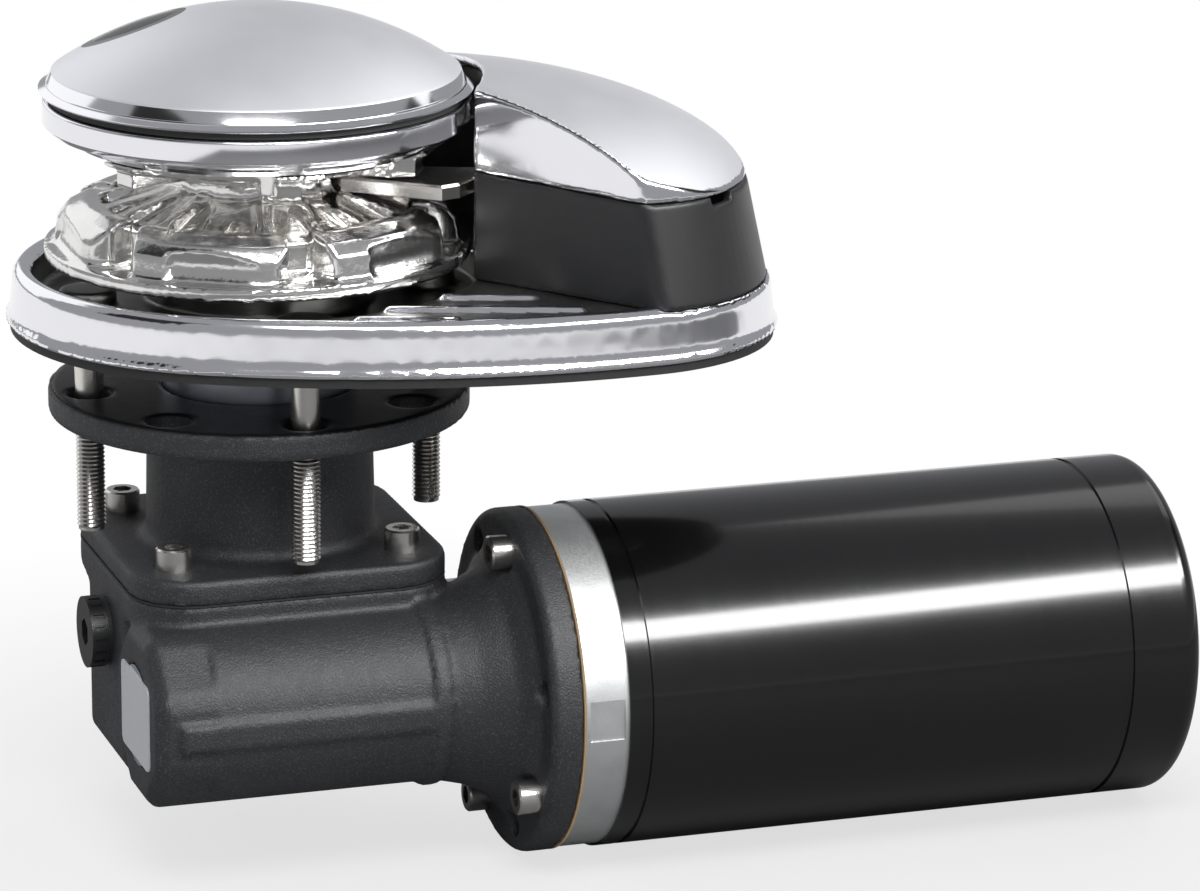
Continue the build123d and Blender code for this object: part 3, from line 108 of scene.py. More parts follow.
def feed(tree, socket, value):
    """Links a Value to a socket, or sets the socket's own number or colour."""
    if isinstance(value, Value):
        tree.links.new(value.socket, socket)
    elif isinstance(value, tuple) and len(value) == 3 and socket.type == "RGBA":
        socket.default_value = (*value, 1)
    else:
        socket.default_value = value


class Finish:
    """A material for one of the windlass's finishes, with its pattern on Object coordinates."""

    def __init__(self, name):
        self.material = bpy.data.materials.new(PREFIX + name)
        self.material.use_nodes = True
        self.tree = self.material.node_tree
        self.shader = self.tree.nodes["Principled BSDF"]
        self.place = self.node("ShaderNodeTexCoord", "Object")

    def node(self, kind, out, settings=None, **links):
        made = self.tree.nodes.new(kind)
        for name, value in (settings or {}).items():
            setattr(made, name, value)
        for name, value in links.items():
            feed(self.tree, made.inputs[name.replace("_", " ")], value)
        return Value(self.tree, made.outputs[out])

    def axis(self, name):
        return self.node("ShaderNodeSeparateXYZ", name, Vector=self.place)

    def stretched(self, scale, turn=(0, 0, 0), move=(0, 0, 0)):
        return self.node(
            "ShaderNodeMapping", "Vector", Vector=self.place, Scale=scale, Rotation=turn, Location=move
        )

    def noise(self, scale, detail=2.0, place=None):
        return self.node(
            "ShaderNodeTexNoise", "Fac", Vector=place or self.place, Scale=scale, Detail=detail
        )

    def blend(self, mask, low, high):
        """Colour that goes from low to high with a mask."""
        mix = self.tree.nodes.new("ShaderNodeMix")
        mix.data_type = "RGBA"
        feed(self.tree, mix.inputs["Factor"], mask)
        feed(self.tree, mix.inputs[6], low)
        feed(self.tree, mix.inputs[7], high)
        return Value(self.tree, mix.outputs[2])

    def bump(self, height, distance, strength=1.0, normal=None):
        links = {"Height": height, "Distance": distance, "Strength": strength}
        if normal is not None:
            links["Normal"] = normal
        return self.node("ShaderNodeBump", "Normal", **links)

    def give(self, **values):
        for name, value in values.items():
            feed(self.tree, self.shader.inputs[name.replace("_", " ")], value)
        return self.material


class WindlassColours(bpy.types.PropertyGroup):
    """Colours of the finishes that a user would change."""

    chrome: bpy.props.FloatVectorProperty(
        name="Chrome", description="Polished and satin chrome", subtype="COLOR", default=(0.8, 0.8, 0.83)
    )
    casting: bpy.props.FloatVectorProperty(
        name="Casting", description="Textured coating on the gearbox", subtype="COLOR",
        default=(0.017, 0.018, 0.0205),
    )
    motor: bpy.props.FloatVectorProperty(
        name="Motor", description="Gloss black motor tube", subtype="COLOR", default=(0.004, 0.004, 0.0045)
    )
    plastic: bpy.props.FloatVectorProperty(
        name="Plastic", description="Black moulded cover housing", subtype="COLOR",
        default=(0.011, 0.0115, 0.013),
    )
    steel: bpy.props.FloatVectorProperty(
        name="Stainless", description="Studs, screws and stripper", subtype="COLOR", default=(0.62, 0.6, 0.57)
    )
    aluminium: bpy.props.FloatVectorProperty(
        name="Aluminium", description="Raw front ring of the motor", subtype="COLOR",
        default=(0.5, 0.51, 0.51),
    )
    gasket: bpy.props.FloatVectorProperty(
        name="Gasket paper", description="Brown gasket at the motor's front", subtype="COLOR",
        default=(0.4, 0.26, 0.13),
    )
    floor: bpy.props.FloatVectorProperty(
        name="Floor", description="Pale studio floor", subtype="COLOR", default=(0.86, 0.86, 0.86)
    )


class WindlassSizes(bpy.types.PropertyGroup):
    """Edge and detail sizes of the dressed pieces."""

    cast_edge: bpy.props.FloatProperty(
        name="Casting grain", description="Remesh size of the castings", default=1.3 * MM, unit="LENGTH"
    )
    plate_grain: bpy.props.FloatProperty(
        name="Base plate grain", description="Remesh size of the base plate", default=1.2 * MM, unit="LENGTH"
    )
    wheel_grain: bpy.props.FloatProperty(
        name="Chain wheel grain", description="Remesh size of the chain wheel",
        default=1.0 * MM, unit="LENGTH",
    )
    shell_grain: bpy.props.FloatProperty(
        name="Cover shell grain", description="Remesh size of the cover's shell",
        default=0.75 * MM, unit="LENGTH",
    )
    wall_grain: bpy.props.FloatProperty(
        name="Cover wall grain", description="Remesh size of the cover's wall",
        default=0.9 * MM, unit="LENGTH",
    )


def colour(name):
    """A colour of the scene's Windlass colours as three numbers."""
    return tuple(getattr(bpy.context.scene.windlass_colours, name))


def size(name):
    """A size of the scene's Windlass sizes, in metres."""
    return getattr(bpy.context.scene.windlass_sizes, name)


def polished_chrome():
    skin = Finish("polished_chrome")
    haze = skin.noise(90.0, 3.0)
    ripple = skin.noise(30.0, 1.0)
    return skin.give(
        Base_Color=colour("chrome"),
        Metallic=1.0,
        Roughness=haze * 0.06 + 0.08,
        Normal=skin.bump(ripple, 0.0004, 0.08),
    )


def satin_chrome():
    skin = Finish("satin_chrome")
    haze = skin.noise(60.0, 3.0)
    grain = skin.noise(2600.0, 2.0)
    return skin.give(
        Base_Color=colour("chrome"),
        Metallic=1.0,
        Roughness=haze * 0.06 + 0.47,
        Normal=skin.bump(grain, 0.00002, 0.4),
    )


def cast_chrome():
    """Chrome over a hand-polished casting, with soft waves and dimples."""
    skin = Finish("cast_chrome")
    wave = skin.noise(70.0, 2.0)
    dimple = skin.noise(420.0, 2.0)
    return skin.give(
        Base_Color=skin.blend(wave, (0.68, 0.675, 0.66), (0.77, 0.765, 0.75)),
        Metallic=1.0,
        Roughness=dimple * 0.12 + 0.1,
        Normal=skin.bump(wave * 0.7 + dimple * 0.3, 0.0006, 0.5),
    )


def sunk_plate():
    """Satin dark metal of the base plate's sunk top."""
    skin = Finish("sunk_plate")
    grain = skin.noise(1800.0, 2.0)
    patch = skin.noise(50.0, 3.0)
    return skin.give(
        Base_Color=skin.blend(patch, (0.2, 0.2, 0.19), (0.3, 0.3, 0.29)),
        Metallic=1.0,
        Roughness=patch * 0.12 + 0.26,
        Normal=skin.bump(grain, 0.00003, 0.5),
    )


def stainless():
    skin = Finish("stainless")
    lines = skin.noise(1.0, 2.0, skin.stretched((300.0, 300.0, 6000.0)))
    patch = skin.noise(160.0, 3.0)
    return skin.give(
        Base_Color=skin.blend(patch, colour("steel"), (0.72, 0.7, 0.67)),
        Metallic=1.0,
        Roughness=lines * 0.14 + 0.16,
        Normal=skin.bump(lines, 0.00003, 0.3),
    )


def zinc_steel():
    skin = Finish("zinc_steel")
    lines = skin.noise(1.0, 2.0, skin.stretched((60.0, 60.0, 3000.0)))
    patch = skin.noise(70.0, 3.0)
    return skin.give(
        Base_Color=skin.blend(patch, (0.42, 0.47, 0.54), (0.6, 0.63, 0.68)),
        Metallic=1.0,
        Roughness=lines * 0.15 + 0.25,
    )


FLANGE_FACE = -21.3 * MM
INLAY_MIDDLE = (42.8 * MM, -4.5 * MM, 0)
INLAY_RIM_START = 14.5 * MM


def gearbox_paint():
    """Dark textured coating, smoother and darker on the flange's machined top."""
    skin = Finish("gearbox_paint")
    sand = skin.noise(1500.0, 2.0)
    lump = skin.noise(260.0, 3.0)
    patch = skin.noise(45.0, 4.0)
    machined = skin.axis("Z").above(FLANGE_FACE, 0.2 * MM)
    coat = skin.blend(patch, colour("casting"), (0.036, 0.038, 0.042))
    fleck = skin.blend(sand.above(0.6, 0.08) * 0.35, coat, (0.13, 0.135, 0.145))
    turned = skin.noise(1.0, 2.0, skin.stretched((900.0, 900.0, 40.0)))
    rough = machined * (turned * 0.15 - 0.25) + lump * 0.12 + 0.5
    height = (1 - machined) * (sand * 0.7 + lump * 0.5)
    return skin.give(
        Base_Color=skin.blend(machined, fleck, (0.016, 0.0155, 0.0155)),
        Roughness=rough,
        Normal=skin.bump(height, 0.00035, 0.9),
    )


def black_plastic():
    skin = Finish("black_plastic")
    spark = skin.noise(2200.0, 2.0)
    patch = skin.noise(40.0, 3.0)
    return skin.give(
        Base_Color=skin.blend(patch, colour("plastic"), (0.018, 0.0185, 0.02)),
        Roughness=patch * 0.1 + 0.36,
        Normal=skin.bump(spark, 0.00008, 0.6),
    )


def black_gloss():
    """Gloss black of the cap's inlay, with a paler rim."""
    skin = Finish("black_gloss")
    haze = skin.noise(120.0, 3.0)
    middle = skin.stretched((1, 1, 0), move=INLAY_MIDDLE)
    away = skin.node("ShaderNodeVectorMath", "Value", {"operation": "LENGTH"}, Vector=middle)
    rim = away.above(INLAY_RIM_START, 0.8 * MM)
    dark = skin.blend(haze, (0.008, 0.008, 0.009), (0.02, 0.02, 0.023))
    return skin.give(
        Base_Color=skin.blend(rim, dark, (0.16, 0.175, 0.165)),
        Roughness=haze * 0.1 + rim * 0.2 + 0.12,
    )


def black_rubber():
    skin = Finish("black_rubber")
    grain = skin.noise(900.0, 3.0)
    return skin.give(
        Base_Color=skin.blend(grain, (0.012, 0.012, 0.012), (0.03, 0.03, 0.03)),
        Roughness=grain * 0.2 + 0.55,
        Normal=skin.bump(grain, 0.00008, 0.5),
    )


def motor_paint():
    """Gloss black enamel over a rolled tube, with faint turning lines round it."""
    skin = Finish("motor_paint")
    along = skin.stretched((1.0, 1.0, 1.0), (0, 0, -MOTOR_ANGLE))
    drawn = skin.node("ShaderNodeMapping", "Vector", Vector=along, Scale=(420.0, 9.0, 9.0))
    lines = skin.noise(1.0, 3.0, drawn)
    haze = skin.noise(30.0, 3.0)
    return skin.give(
        Base_Color=skin.blend(haze, colour("motor"), (0.007, 0.007, 0.0075)),
        Roughness=lines * 0.05 + haze * 0.04 + 0.14,
        Normal=skin.bump(lines, 0.00006, 0.25),
        Coat_Weight=0.25,
        Coat_Roughness=0.08,
    )


def raw_aluminium():
    skin = Finish("raw_aluminium")
    grain = skin.noise(1300.0, 3.0)
    patch = skin.noise(110.0, 4.0)
    return skin.give(
        Base_Color=skin.blend(patch, colour("aluminium"), (0.68, 0.69, 0.69)),
        Metallic=0.85,
        Roughness=grain * 0.2 + 0.38,
        Normal=skin.bump(grain, 0.00005, 0.5),
    )


def paper_gasket():
    skin = Finish("paper_gasket")
    fibre = skin.noise(1100.0, 4.0)
    return skin.give(
        Base_Color=skin.blend(fibre, colour("gasket"), (0.56, 0.4, 0.22)),
        Roughness=fibre * 0.15 + 0.7,
        Normal=skin.bump(fibre, 0.00008, 0.6),
    )


def metal(name, low, high, rough):
    """A plain machined metal with patches between two colours and a fine grain."""

    def build():
        skin = Finish(name)
        patch = skin.noise(180.0, 3.0)
        fine = skin.noise(1500.0, 2.0)
        return skin.give(
            Base_Color=skin.blend(patch, low, high),
            Metallic=1.0,
            Roughness=patch * 0.12 + rough,
            Normal=skin.bump(fine, 0.00004, 0.4),
        )

    return build


def moulding(name, low, high, rough):
    """A plain moulded or pressed stuff with a fine grain."""

    def build():
        skin = Finish(name)
        fine = skin.noise(1200.0, 3.0)
        return skin.give(
            Base_Color=skin.blend(fine, low, high),
            Roughness=fine * 0.15 + rough,
            Normal=skin.bump(fine, 0.00006, 0.5),
        )

    return build


FINISHES = {
    "polished_chrome": polished_chrome,
    "satin_chrome": satin_chrome,
    "cast_chrome": cast_chrome,
    "sunk_plate": sunk_plate,
    "stainless": stainless,
    "zinc_steel": zinc_steel,
    "gearbox_paint": gearbox_paint,
    "black_plastic": black_plastic,
    "black_gloss": black_gloss,
    "black_rubber": black_rubber,
    "motor_paint": motor_paint,
    "raw_aluminium": raw_aluminium,
    "paper_gasket": paper_gasket,
    "plate_metal": moulding("plate_metal", (0.58, 0.6, 0.62), (0.66, 0.68, 0.7), 0.3),
    "bearing_steel": metal("bearing_steel", (0.5, 0.5, 0.52), (0.66, 0.66, 0.68), 0.14),
    "lamination": metal("lamination", (0.24, 0.24, 0.25), (0.36, 0.35, 0.34), 0.4),
    "bronze": metal("bronze", (0.48, 0.32, 0.14), (0.66, 0.47, 0.23), 0.28),
    "copper": metal("copper", (0.62, 0.27, 0.14), (0.76, 0.38, 0.22), 0.25),
    "brass_terminal": metal("brass_terminal", (0.56, 0.44, 0.2), (0.7, 0.58, 0.32), 0.25),
    "magnet": moulding("magnet", (0.07, 0.07, 0.07), (0.13, 0.13, 0.13), 0.6),
    "carbon": moulding("carbon", (0.03, 0.03, 0.03), (0.07, 0.07, 0.07), 0.6),
    "insulator": moulding("insulator", (0.05, 0.032, 0.022), (0.09, 0.062, 0.045), 0.45),
}


# Nodes that show a darker stuff than their slot says
DARK_PIECES = {"lid_gasket": "black_rubber"}


def finish(name):
    """The material of a finish, built once."""
    return bpy.data.materials.get(PREFIX + name) or FINISHES[name]()


class WINDLASS_OT_cad_finishes(bpy.types.Operator):
    """Gives each CAD node the material of its slot in the record"""

    bl_idname = "windlass.cad_finishes"
    bl_label = "CAD finishes"

    def execute(self, context):
        for part in frame["record"]["subparts"]:
            mesh = NODES[part["node"]].data
            mesh.materials.clear()
            mesh.materials.append(finish(DARK_PIECES.get(part["node"], part["material_slot"])))
        return {"FINISHED"}


# Modelling steps

def deselect():
    """Leaves edit mode and selects nothing."""
    if bpy.context.object and bpy.context.object.mode != "OBJECT":
        bpy.ops.object.mode_set(mode="OBJECT")
    bpy.ops.object.select_all(action="DESELECT")


def activate(piece):
    """Selects one piece and makes it active."""
    deselect()
    piece.select_set(True)
    bpy.context.view_layer.objects.active = piece


def whole_edit(piece):
    """Opens a piece in edit mode with all of it selected."""
    activate(piece)
    bpy.ops.object.mode_set(mode="EDIT")
    bpy.ops.mesh.select_all(action="SELECT")


def settle(piece, name):
    """Names a piece, closes it, points its faces outwards and bakes its place into the mesh."""
    whole_edit(piece)
    bpy.ops.mesh.remove_doubles(threshold=MERGE_GAP)
    bpy.ops.mesh.fill_holes(sides=0)
    bpy.ops.mesh.normals_make_consistent(inside=False)
    bpy.ops.object.mode_set(mode="OBJECT")
    piece.name = name
    bpy.ops.object.transform_apply(location=True, rotation=True, scale=True)
    bpy.ops.object.shade_smooth_by_angle(angle=SMOOTH_LIMIT)
    return piece


def change(piece, kind, **settings):
    """Adds a modifier to a piece and applies it."""
    activate(piece)
    modifier = piece.modifiers.new(kind.lower(), kind)
    for name, value in settings.items():
        setattr(modifier, name, value)
    bpy.ops.object.modifier_apply(modifier=modifier.name)


def cut(piece, tool):
    """Cuts a piece with a tool and removes the tool."""
    change(piece, "BOOLEAN", object=tool, operation="DIFFERENCE", solver="EXACT")
    bpy.data.objects.remove(tool)


def rounded(points, radii, steps=5):
    """A profile whose corners are arcs; radii gives each inner corner's radius."""
    found = [Vector(points[0])]
    for before, corner, after, radius in zip(points, points[1:], points[2:], radii):
        corner = Vector(corner)
        into = (Vector(before) - corner).normalized()
        out = (Vector(after) - corner).normalized()
        if radius == 0:
            found.append(corner)
            continue
        half = into.angle(out) / 2
        reach = radius / math.tan(half)
        middle = corner + (into + out).normalized() * (radius / math.sin(half))
        start, end = corner + into * reach - middle, corner + out * reach - middle
        for k in range(steps + 1):
            found.append(middle + start.slerp(end, k / steps))
    found.append(Vector(points[-1]))
    return [(p.x, p.y) for p in found]


def lathe(points, steps=RING_STEPS):
    """Turns a profile of (radius, height) millimetres about Z by extruding and resizing rings."""
    deselect()
    radius, height = max(points[0][0], LEAST_RADIUS), points[0][1]
    bpy.ops.mesh.primitive_circle_add(vertices=steps, radius=radius * MM, location=(0, 0, height * MM))
    bpy.ops.object.mode_set(mode="EDIT")
    bpy.ops.mesh.select_all(action="SELECT")
    for next_radius, next_height in points[1:]:
        rise = (0, 0, (next_height - height) * MM)
        bpy.ops.mesh.extrude_region_move(TRANSFORM_OT_translate={"value": rise})
        grow = max(next_radius, LEAST_RADIUS) / radius
        bpy.ops.transform.resize(value=(grow, grow, 1), center_override=(0, 0, 0))
        radius, height = max(next_radius, LEAST_RADIUS), next_height
    bpy.ops.object.mode_set(mode="OBJECT")
    return bpy.context.object


def shift(place):
    """A move by a place in millimetres."""
    return Matrix.Translation([at * MM for at in place])


def bar(low, high, place=None):
    """A block between two corners in millimetres."""
    deselect()
    middle = [(a + b) / 2 * MM for a, b in zip(low, high)]
    bpy.ops.mesh.primitive_cube_add(size=1.0, location=middle)
    made = bpy.context.object
    made.scale = [(b - a) * MM for a, b in zip(low, high)]
    bpy.context.view_layer.update()
    if place is not None:
        made.matrix_world = place @ made.matrix_world
    return made


def copy_of(node):
    """A separate, merged copy of a CAD node's mesh."""
    made = bpy.data.objects.new(node + "_copy", NODES[node].data.copy())
    bpy.context.collection.objects.link(made)
    whole_edit(made)
    bpy.ops.mesh.remove_doubles(threshold=MERGE_GAP)
    bpy.ops.object.mode_set(mode="OBJECT")
    return made


def soften(piece, grain, passes):
    """Gives a piece the soft edges of a casting or moulding."""
    change(piece, "REMESH", mode="VOXEL", voxel_size=grain)
    change(piece, "SMOOTH", factor=0.5, iterations=passes)


def keep(piece, body, slot_name, *nodes):
    """Lets a finished piece ride on a body and stand for CAD nodes."""
    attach(piece, body)
    if nodes:
        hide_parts(*nodes)


def dress(piece, *names):
    """Gives a piece its materials, in slot order."""
    piece.data.materials.clear()
    for name in names:
        piece.data.materials.append(finish(name))


def paint(piece, index, chosen):
    """Gives the faces that chosen accepts, by centre and normal, one material slot."""
    for face in piece.data.polygons:
        if chosen(face.center, face.normal):
            face.material_index = index


# Pieces, in millimetres until they reach a mesh

CAP_RADIUS = 73.9
CAP_LOW = 83.0
CAP_TOP = 110.5
CAP_CROWN = 124.7
CAP_WALL = 4.0
CAP_EDGE = 3.0
CAP_INNER_EDGE = 0.5
CAP_DOME_R = 69.0
CAP_BEND_R = 70.0
CAP_EDGE_TOP = 86.24
CAP_LIP_R = 70.5
CAP_SHADE_R = 70.6
INLAY_RADIUS = 18.0
INLAY_AT = 43.0
INLAY_ANGLE = math.radians(174)
INLAY_DEPTH = 1.0
INLAY_TOOL_MIDDLE = 105.0
INLAY_TOOL_HEIGHT = 30.0
RING_PROFILE = (
    (12.55, 61.0), (36.0, 61.0), (42.0, 65.5), (42.0, 65.8), (63.0, 65.8),
    (64.5, 67.3), (71.3, 69.4), (73.5, 72.0), (73.5, 80.0), (60.0, 80.0), (12.55, 80.0),
)
RING_ROUNDS = (0, 0, 0, 0, 0.8, 1.5, 1.2, 1.3, 0)
KEYWAY = ((9.0, -4.0, 55.0), (16.0, 4.0, 85.0))
PLATE_TOP = 20.0
PLATE_TOP_BAND = 0.4
WELL_RADIUS = 77.2
UPRIGHT_PART = 0.9
COVER_FLAT_PART = 0.72
WHEEL_LUGS = 6
LUG_PHASE = -69.0
LUG_FLOOR = 29.5
LUG_CEILING = 55.0
LUG_OUTSIDE = 80.0
LUG_ROOM_R = 31.0
LUG_GAP = 9.0
LUG_GAP_START = 46.0
LUG_MIDDLE = 30.0
LUG_HOLLOW_R = 10.0
LUG_HOLLOW_LENGTH = 36.0
LUG_HOLLOW_AT = (76.0, 6.0, 36.2)
LUG_BEVEL_AT = (62.5, 26.8, 0.0)
LUG_BEVEL_ANGLE = math.radians(66.0)
LUG_BEVEL_BAR = 15.0
LUG_PROFILE = (
    (53.0, 27.0), (53.0, 44.0), (58.5, 45.0), (66.0, 43.5), (70.2, 38.5), (70.4, 27.0), (53.0, 27.0),
)
LUG_ROUNDS = (0, 1.0, 2.5, 2.5, 0, 0)
SKIRT_PROFILE = ((28.0, 27.0), (28.0, 50.0), (32.0, 49.2), (54.0, 40.5), (54.0, 27.0), (28.0, 27.0))
# Each rib's angle after a gap in degrees, its width and its lift
RIBS = ((11.0, 5.0, 0.0), (30.0, 8.0, -1.2), (49.0, 5.0, 0.0))
RIB_SLOPE = math.radians(13.0)
RIB_START = 28.0
RIB_TOP = 51.0
RIB_LENGTH = 31.0
RIB_DEPTH = 9.0


def crown_height(radius, shrink=0.0):
    """Height of the cap's crown at a radius, in millimetres."""
    return CAP_TOP - CAP_CROWN + math.sqrt((CAP_CROWN - shrink) ** 2 - radius**2)


def crown_points(far, shrink=0.0, count=26):
    """Profile points over the crown, closer together near its edge."""
    found = []
    for k in range(count + 1):
        radius = far * math.sin(math.pi / 2 * k / count)
        found.append((radius, crown_height(radius, shrink)))
    return found


class WINDLASS_OT_cap(bpy.types.Operator):
    """Domed cap: satin crown, polished rim and a seat for the dark inlay"""

    bl_idname = "windlass.cap"
    bl_label = "Cap"

    def execute(self, context):
        edge = rounded(
            [
                (CAP_BEND_R, crown_height(CAP_BEND_R)), (CAP_RADIUS, CAP_EDGE_TOP),
                (CAP_RADIUS, CAP_LOW), (CAP_LIP_R, CAP_LOW),
            ],
            [CAP_EDGE, CAP_INNER_EDGE], 8,
        )
        inside = crown_points(CAP_RADIUS - CAP_WALL, CAP_WALL, 12)
        dome = lathe(crown_points(CAP_DOME_R) + edge + [(CAP_RADIUS - CAP_WALL, CAP_LOW)] + inside[::-1])
        settle(dome, "cap_shell")
        self.seat(dome)
        settle(dome, "cap_shell")
        dress(dome, "satin_chrome", "polished_chrome")
        paint(dome, 1, lambda at, normal: math.hypot(at.x, at.y) > CAP_SHADE_R * MM)
        keep(dome, "cap", "satin_chrome", "cap_dome")
        return {"FINISHED"}

    def seat(self, dome):
        """Sinks the inlay's seat into the crown."""
        x, y = INLAY_AT * math.cos(INLAY_ANGLE), INLAY_AT * math.sin(INLAY_ANGLE)
        deselect()
        bpy.ops.mesh.primitive_cylinder_add(
            vertices=96, radius=INLAY_RADIUS * MM, depth=INLAY_TOOL_HEIGHT * MM,
            location=(x * MM, y * MM, INLAY_TOOL_MIDDLE * MM),
        )
        tool = bpy.context.object
        deselect()
        bpy.ops.mesh.primitive_uv_sphere_add(
            segments=128, ring_count=96, radius=(CAP_CROWN - INLAY_DEPTH) * MM,
            location=(0, 0, (CAP_TOP - CAP_CROWN) * MM),
        )
        cut(tool, bpy.context.object)
        cut(dome, tool)


class WINDLASS_OT_clutch_ring(bpy.types.Operator):
    """Polished clutch ring under the cap"""

    bl_idname = "windlass.clutch_ring"
    bl_label = "Clutch ring"

    def execute(self, context):
        points = rounded(RING_PROFILE, RING_ROUNDS) + [RING_PROFILE[0]]
        ring = settle(lathe(points), "clutch_ring_polished")
        cut(ring, bar(*KEYWAY))
        settle(ring, "clutch_ring_polished")
        dress(ring, "polished_chrome")
        keep(ring, "clutch_ring", "polished_chrome", "upper_clutch_cone")
        return {"FINISHED"}


class WINDLASS_OT_chain_wheel(bpy.types.Operator):
    """Cast and plated chain wheel with soft edges"""

    bl_idname = "windlass.chain_wheel"
    bl_label = "Chain wheel"

    def execute(self, context):
        wheel = copy_of("gypsy")
        ring = (
            (LUG_ROOM_R, LUG_FLOOR), (LUG_OUTSIDE, LUG_FLOOR), (LUG_OUTSIDE, LUG_CEILING),
            (LUG_ROOM_R, LUG_CEILING), (LUG_ROOM_R, LUG_FLOOR),
        )
        cut(wheel, settle(lathe(ring), "lug_room"))
        skirt = settle(lathe(SKIRT_PROFILE), "wheel_skirt")
        lugs = settle(lathe(rounded(LUG_PROFILE, LUG_ROUNDS)), "wheel_lugs")
        ribs = []
        for k in range(WHEEL_LUGS):
            start = LUG_PHASE + k * 360 / WHEEL_LUGS
            self.shape_lug(lugs, start)
            ribs += [self.rib(start + angle, width, lift) for angle, width, lift in RIBS]
        activate(wheel)
        for piece in (skirt, lugs, *ribs):
            piece.select_set(True)
        bpy.ops.object.join()
        soften(wheel, size("wheel_grain"), 4)
        settle(wheel, "chain_wheel_cast")
        dress(wheel, "cast_chrome")
        keep(wheel, "chain_wheel", "polished_chrome", "gypsy")
        return {"FINISHED"}

    def shape_lug(self, lugs, start):
        """Cuts the gap before a lug, the hollow in its face and the bevel at its far corner."""
        gap = Matrix.Rotation(math.radians(start), 4, "Z")
        gap_low = (LUG_GAP_START, -LUG_GAP / 2, LUG_FLOOR)
        cut(lugs, bar(gap_low, (LUG_OUTSIDE, LUG_GAP / 2, LUG_CEILING), gap))
        middle = Matrix.Rotation(math.radians(start + LUG_MIDDLE), 4, "Z")
        deselect()
        bpy.ops.mesh.primitive_cylinder_add(
            vertices=96, radius=LUG_HOLLOW_R * MM, depth=LUG_HOLLOW_LENGTH * MM
        )
        hollow = bpy.context.object
        hollow.matrix_world = middle @ shift(LUG_HOLLOW_AT) @ Matrix.Rotation(math.pi / 2, 4, "X")
        cut(lugs, hollow)
        corner = middle @ shift(LUG_BEVEL_AT) @ Matrix.Rotation(LUG_BEVEL_ANGLE, 4, "Z")
        cut(lugs, bar((0.0, -LUG_BEVEL_BAR, LUG_FLOOR), (LUG_BEVEL_BAR, LUG_BEVEL_BAR, LUG_CEILING), corner))

    def rib(self, angle, width, lift):
        """A radial rib from the waist down to the lugs."""
        place = Matrix.Rotation(math.radians(angle), 4, "Z")
        place @= shift((RIB_START, 0.0, RIB_TOP + lift)) @ Matrix.Rotation(RIB_SLOPE, 4, "Y")
        return bar((0.0, -width / 2, -RIB_DEPTH), (RIB_LENGTH, width / 2, 0.0), place)


class WINDLASS_OT_base_plate(bpy.types.Operator):
    """Base plate with a polished side and crest and a satin sunk top"""

    bl_idname = "windlass.base_plate"
    bl_label = "Base plate"

    def execute(self, context):
        plate = copy_of("base_plate")
        soften(plate, size("plate_grain"), 3)
        settle(plate, "base_plate_plated")
        dress(plate, "polished_chrome", "sunk_plate")
        paint(plate, 1, self.sunk)
        keep(plate, "root", "polished_chrome", "base_plate")
        return {"FINISHED"}

    def sunk(self, at, normal):
        """The flat top between the ribs, and all of the well."""
        flat = abs(at.z - PLATE_TOP * MM) < PLATE_TOP_BAND * MM and normal.z > UPRIGHT_PART
        return flat or math.hypot(at.x, at.y) < WELL_RADIUS * MM


class WINDLASS_OT_chain_cover(bpy.types.Operator):
    """Chain cover: chromed shell with a polished ridge over a black moulded wall"""

    bl_idname = "windlass.chain_cover"
    bl_label = "Chain cover"

    def execute(self, context):
        shell = copy_of("cover_shell")
        soften(shell, size("shell_grain"), 14)
        settle(shell, "cover_shell_chromed")
        dress(shell, "satin_chrome", "polished_chrome")
        paint(shell, 1, self.polished)
        keep(shell, "root", "satin_chrome", "cover_shell")
        wall = copy_of("cover_housing")
        soften(wall, size("wall_grain"), 5)
        settle(wall, "cover_wall_moulded")
        dress(wall, "black_plastic")
        keep(wall, "root", "black_plastic", "cover_housing")
        return {"FINISHED"}

    def polished(self, at, normal):
        """The near wall's facet and the ridge above it."""
        return normal.z < COVER_FLAT_PART


class WINDLASS_OT_gearbox(bpy.types.Operator):
    """Gearbox castings with soft edges under a textured coating"""

    bl_idname = "windlass.gearbox"
    bl_label = "Gearbox"

    def execute(self, context):
        for node in ("gearbox_cover", "gearbox_housing"):
            casting = copy_of(node)
            soften(casting, size("cast_edge"), 2)
            settle(casting, node + "_cast")
            dress(casting, "gearbox_paint")
            keep(casting, "root", "gearbox_paint", node)
        return {"FINISHED"}


# Stage

CAMERA_PLACE = (0.2546, -1.8784, 0.4935)
CAMERA_HEADING = math.radians(94.14)
CAMERA_PITCH = math.radians(-15.86)
CAMERA_ROLL = math.radians(0.43)
CAMERA_LENS = 169.6
SENSOR_WIDTH = 36.0
FLOOR_WIDTH = 16.0
FLOOR_GAP = 0.2 * MM
WORLD_COLOUR = (0.95, 0.96, 1, 1)
WORLD_STRENGTH = 0.36
STAGE_CENTRE = (0.08, 0, -0.03)
BLACK_CARD = 0.015
GREY_CARD = 0.25
STRIP_STRENGTH = 25.0


def path_share(tree, share):
    """A share that counts only for the camera, reflections and what is seen through things."""
    path = tree.nodes.new("ShaderNodeLightPath")
    seen = Value(tree, path.outputs["Is Camera Ray"])
    glossy = Value(tree, path.outputs["Is Glossy Ray"])
    through = Value(tree, path.outputs["Is Transmission Ray"])
    total = seen + glossy + through
    return total.math("MINIMUM", total, 1.0) * share


